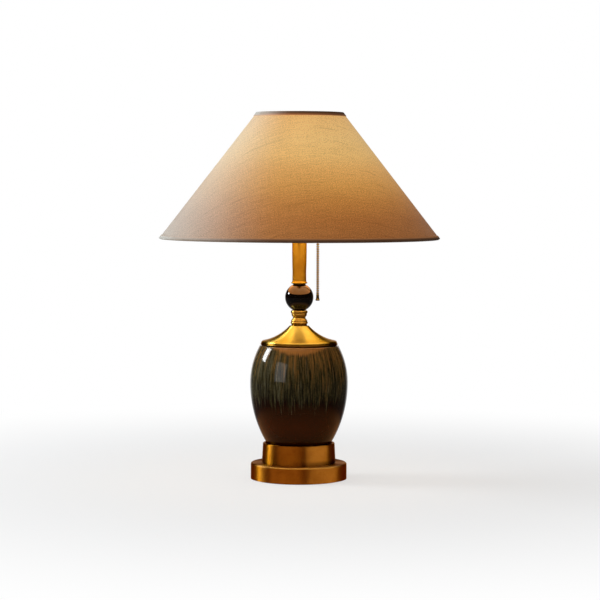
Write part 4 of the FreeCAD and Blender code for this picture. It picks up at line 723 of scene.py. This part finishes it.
clothLook = dict(
    thread=(0.45, 0.205, 0.062), slub=(0.37, 0.160, 0.045), roughness=0.86, specular=0.18,
    sheen=0.35, sheenTint=(0.78, 0.90, 0.90), sheenRoughness=0.42,
    # drift, weft, warp, speck and longWeft: how fast each changes across and down the cut, its layer, detail and
    # roughness
    drift=(38.0, 38.0, 5.0, 2.0, 0.5), sway=0.010, weft=(26.0, 620.0, 3.0, 3.0, 0.65),
    warp=(520.0, 30.0, 9.0, 3.0, 0.65), speck=(640.0, 640.0, 15.0, 2.0, 0.6),
    longWeft=(9.0, 150.0, 21.0, 2.0, 0.5), slubFrom=(0.58, 0.73),
    weftShare=0.50, warpShare=0.28, speckShare=0.22, fineWaves=6200.0, fineBend=3.0,
    coarse=0.80, coarseRight=(-0.6, 0.8), coarseLow=(0.3, 1.0), coarseBy=0.45,
    threadTone=0.84, speckTone=1.08, slubTone=0.08, dense=(0.62, 0.36), denseShare=0.6, slubShare=0.4,
    # the pale colour of painted daylight on the window's side, more of it lower down
    paintedDaylight=(0.555, 0.545, 0.480), daylightLeft=(-0.15, -1.10), daylightTop=0.62, daylightFall=0.38, daylightShare=0.95,
    glow=[(0.00, (0.55, 0.315, 0.105)), (0.08, (0.56, 0.355, 0.130)), (0.22, (0.55, 0.370, 0.140)),
          (0.34, (0.53, 0.340, 0.116)), (0.46, (0.43, 0.235, 0.066)), (0.58, (0.345, 0.165, 0.034)),
          (0.70, (0.24, 0.090, 0.012)), (0.84, (0.16, 0.042, 0.002)), (1.00, (0.10, 0.020, 0.0005))],
    glowPeak=1.12,  # the share of the glow is divided by it to stay within 1, and the strength makes up for that
    dimLeft=(0.20, -0.80), dimLeftBy=0.25,
    dimRight=(0.55, 1.0), dimRightLow=(0.45, 1.0), dimRightBy=0.18,
    brightRight=(0.0, 0.45), brightFrom=(0.30, 0.50), brightTo=(0.70, 0.88), brightBy=0.12,
    fineRise=0.25, threadRise=1.6, slubRise=0.8, bump=(0.35, 0.00022),
)


def linen(name, glowStrength):
    # Slubbed plain weave: noise drawn out along each set of threads, two sets of fine waves bent by it, and slubs
    # where long noise is high. Its grain is coarser to the right and below. Painted daylight makes it pale on the
    # window's side. The bulb's light through the cloth is a painted glow: a ramp down the slope, weaker at the left
    # and low on the right, stronger between.
    look = clothLook
    cloth = Finish(name, roughness=look["roughness"], specular=look["specular"], sheenWeight=look["sheen"],
                   sheenTint=look["sheenTint"], sheenRoughness=look["sheenRoughness"])
    u, v = cloth.split(cloth.add("UVMap", dict(uv_map="flat"), {}))[:2]
    swayed = v + (cloth.clothNoise(u, v, *look["drift"]) - 0.5) * look["sway"]
    weft = cloth.clothNoise(u, swayed, *look["weft"])
    warp = cloth.clothNoise(u, v, *look["warp"])
    speck = cloth.clothNoise(u, v, *look["speck"])
    slubs = cloth.step(cloth.clothNoise(u, swayed, *look["longWeft"]), *look["slubFrom"])
    fine = [(along * look["fineWaves"]).math("SINE", along * look["fineWaves"] + bend * look["fineBend"])
            for along, bend in ((u, weft), (v, warp))]
    threads = weft * look["weftShare"] + warp * look["warpShare"] + speck * look["speckShare"]
    at = Spot(cloth)
    fall = (cone["top"] - at.z) / cone["height"]
    coarse = (look["coarse"] + cloth.step(at.right, *look["coarseRight"]) * look["coarseBy"]
              + cloth.step(fall, *look["coarseLow"]) * look["coarseBy"])
    level = (1.0 + (threads - 0.5) * look["threadTone"] + (speck - 0.5) * coarse * look["speckTone"]
             - slubs * look["slubTone"])
    grey = cloth.vector(level, level, level)
    dense = cloth.step(threads, *look["dense"]) * look["denseShare"] + slubs * look["slubShare"]
    # painted daylight: pale toward the window's side, and more so lower down
    daylight = cloth.step(at.right, *look["daylightLeft"]) * (look["daylightTop"] + fall * look["daylightFall"])
    daylight *= look["daylightShare"]
    plain = cloth.mix(cloth.mix(look["thread"], look["slub"], dense), look["paintedDaylight"], daylight)
    cloth.set("baseColor", cloth.mix(plain, grey, 1.0, "MULTIPLY"))
    # the painted glow is dimmer at the left and low on the right, brighter between
    lowRight = cloth.step(at.right, *look["dimRight"]) * cloth.step(fall, *look["dimRightLow"])
    bright = cloth.step(at.right, *look["brightRight"]) * (cloth.step(fall, *look["brightFrom"])
                                                           - cloth.step(fall, *look["brightTo"]))
    share = (1.0 - cloth.step(at.right, *look["dimLeft"]) * look["dimLeftBy"] - lowRight * look["dimRightBy"]
             + bright * look["brightBy"]) / look["glowPeak"]
    glow = cloth.mix((0, 0, 0), cloth.ramp(fall, *look["glow"]), share)
    cloth.set("emissionColor", cloth.mix(glow, grey, 1.0, "MULTIPLY"))
    cloth.set("emissionStrength", glowStrength * look["glowPeak"])
    height = (fine[0] * look["fineRise"] + fine[1] * look["fineRise"] + threads * look["threadRise"]
              + slubs * look["slubRise"])
    cloth.set("normal", cloth.bump(height, *look["bump"]))
    return cloth


shadeCloth.data.materials.append(linen("shadeLinen", glowStrength=1.0).material)
seamTape.data.materials.append(linen("seamLinen", glowStrength=0.6).material)

trimLook = dict(
    roughness=0.80, specular=0.2, sheen=0.03, sheenTint=(0.80, 0.92, 1.0),
    ribs=(900.0, 60.0, 1.0, 2.0, 0.6), twillWaves=5200.0, twillLean=3000.0,
    rampsPerMetre=100.0,  # the stops of fold and through, and cornerFold, are centimetres from the fold
    dark=dict(topTape=(0.19, 0.082, 0.033), bottomTape=(0.130, 0.062, 0.028)),
    # painted daylight makes the tape pale on the window's side, palest at its corner there
    paintedDaylight=(0.66, 0.555, 0.460), daylightLeft=(-0.15, -0.95), daylightShare=0.88,
    fold=dict(topTape=(0.66, 0.57, 0.48), bottomTape=(0.50, 0.41, 0.325)), foldStops=(0.06, 0.20),
    corner=(0.70, 0.67, 0.60), cornerLeft=(-0.80, -0.98), cornerFold=(0.50, 0.42),
    through=dict(topTape=[(0.16, (0, 0, 0)), (0.31, (0.066, 0.022, 0.006)), (0.46, (0.17, 0.050, 0.013)),
                          (0.61, (0.34, 0.130, 0.050)), (0.70, (0.42, 0.180, 0.070))],
                 bottomTape=[(0.10, (0, 0, 0)), (0.22, (0.03, 0.010, 0.003)), (0.33, (0.07, 0.025, 0.006)),
                             (0.45, (0.20, 0.088, 0.034)), (0.50, (0.24, 0.110, 0.040))]),
    dimRight=(0.0, 1.0), dimRightBy=dict(topTape=0.66, bottomTape=0.15), dimLeft=(-0.55, -0.95), dimLeftBy=0.65,
    level=0.88, ribStep=(0.40, 0.80), ribTone=0.24, twillTone=0.05, ribRise=0.8, twillRise=0.3, bump=(0.2, 0.0002),
)


def trimTape(name, edge, way):
    # Ribbed tape: a painted glow of light through it toward its inner edge, dark where it is folded, and painted
    # daylight that makes it pale on the window's side, palest at the corner. The distance from the fold, along the
    # slope, is the height above or below the edge times slant over height. edge is the fold's height, and the tape
    # stands above it where way is 1, and hangs below where it is -1.
    look = trimLook
    trim = Finish(name + "Weave", roughness=look["roughness"], specular=look["specular"],
                  sheenWeight=look["sheen"], sheenTint=look["sheenTint"])
    u, v = trim.split(trim.add("UVMap", dict(uv_map="flat"), {}))[:2]
    at = Spot(trim)
    ribs = trim.clothNoise(u, v, *look["ribs"])
    twill = (u * look["twillWaves"]).math("SINE", u * look["twillWaves"] + v * look["twillLean"])
    away = (at.z - edge) * (way * look["rampsPerMetre"] * slant / cone["height"])
    pale = trim.ramp(away, *zip(look["foldStops"], (look["fold"][name], look["paintedDaylight"])))
    # painted daylight, palest at the corner on the window's side
    pale = trim.mix(pale, look["corner"],
                    trim.step(at.right, *look["cornerLeft"]) * trim.step(away, *look["cornerFold"]))
    colour = trim.mix(look["dark"][name], pale, trim.step(at.right, *look["daylightLeft"]) * look["daylightShare"])
    # the painted glow through the tape is dimmed at the right and the left
    dim = (trim.step(at.right, *look["dimRight"]) * look["dimRightBy"][name]
           + trim.step(at.right, *look["dimLeft"]) * look["dimLeftBy"])
    trim.set("emissionColor", trim.mix(trim.ramp(away, *look["through"][name]), (0, 0, 0), dim))
    trim.set("emissionStrength", 1.0)
    level = look["level"] + trim.step(ribs, *look["ribStep"]) * look["ribTone"] + twill * look["twillTone"]
    trim.set("baseColor", trim.mix(colour, trim.vector(level, level, level), 1.0, "MULTIPLY"))
    trim.set("normal", trim.bump(ribs * look["ribRise"] + twill * look["twillRise"], *look["bump"]))
    return trim


topTape.data.materials.append(trimTape("topTape", cone["top"], -1).material)
bottomTape.data.materials.append(trimTape("bottomTape", cone["top"] - cone["height"], 1).material)

liningLook = dict(
    pale=(0.82, 0.70, 0.50), dark=(0.70, 0.55, 0.36), fibres=(260.0, 3.0, 0.6), darkShare=0.6,
    roughness=0.75, specular=0.25, bump=(0.12, 0.0002), strength=1.15,
    glow=[(0.0, (0.60, 0.44, 0.24)), (0.25, (0.95, 0.76, 0.46)), (0.50, (0.78, 0.54, 0.28)),
          (0.75, (0.60, 0.38, 0.19)), (1.0, (0.48, 0.29, 0.14))],
)


def paleLining():
    # Fibres of noise in the colour and the bump, and the light of the bulb as a ramp down from the top edge
    look = liningLook
    lining = Finish("paleLining", roughness=look["roughness"], specular=look["specular"])
    z = lining.split(lining.place())[2]
    fibres = lining.noise(lining.place(), *look["fibres"])
    lining.set("baseColor", lining.mix(look["pale"], look["dark"], fibres * look["darkShare"]))
    lining.set("emissionColor", lining.ramp((cone["top"] - z) / cone["height"], *look["glow"]))
    lining.set("emissionStrength", look["strength"])
    lining.set("normal", lining.bump(fibres, *look["bump"]))
    return lining


paleLining().cover("shade_liner")
print("shade finished")


# felt under the base

feltLook = dict(
    radius=0.0691, thick=0.0020, hole=0.0002, rows=30, rimRows=9, sides=180, trimWaves=9, trimStart=0.5,
    trimBy=0.002, trimFrom=0.9, wool=(0.020, 0.050, 0.032), fluff=(0.045, 0.085, 0.060),
    roughness=0.95, specular=0.15, sheen=0.4, tangle=(1400.0, 4.0, 0.7), bump=(0.5, 0.0004),
)


def feltDisc():
    # A flat disc with a soft edge: the profile goes out along the top, round the rim in a half circle and back
    # underneath. Near the rim the radius shrinks a little by a sine of the angle, where the scissors went.
    look = feltLook
    radius, half, rows = look["radius"], look["thick"] / 2, look["rows"]
    rim = np.linspace(np.pi / 2, -np.pi / 2, look["rimRows"])[1:-1]
    run = np.linspace(look["hole"], radius - half, rows)
    profile = np.concatenate([
        np.stack([run, np.full(rows, look["thick"])], -1),
        np.stack([radius - half + half * np.cos(rim), half + half * np.sin(rim)], -1),
        np.stack([run[::-1], np.zeros(rows)], -1),
    ])
    angles = fullTurn(look["sides"])
    points = turned(profile[:, None], angles)
    cut = look["trimBy"] * (1 + np.sin(angles * look["trimWaves"] + look["trimStart"])) / 2
    points[..., :2] *= (1 - cut * (profile[:, 0, None] > radius * look["trimFrom"]))[..., None]
    return gridMesh("feltDisc", points, True, True)


felt = feltDisc()
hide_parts("felt_pad")
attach(felt, "root")
wool = Finish("woolFelt", roughness=feltLook["roughness"], specular=feltLook["specular"],
              sheenWeight=feltLook["sheen"])
tangle = wool.noise(wool.place(), *feltLook["tangle"])
wool.set("baseColor", wool.mix(feltLook["wool"], feltLook["fluff"], tangle))
wool.set("normal", wool.bump(tangle, *feltLook["bump"]))
felt.data.materials.append(wool.material)
print("felt finished")
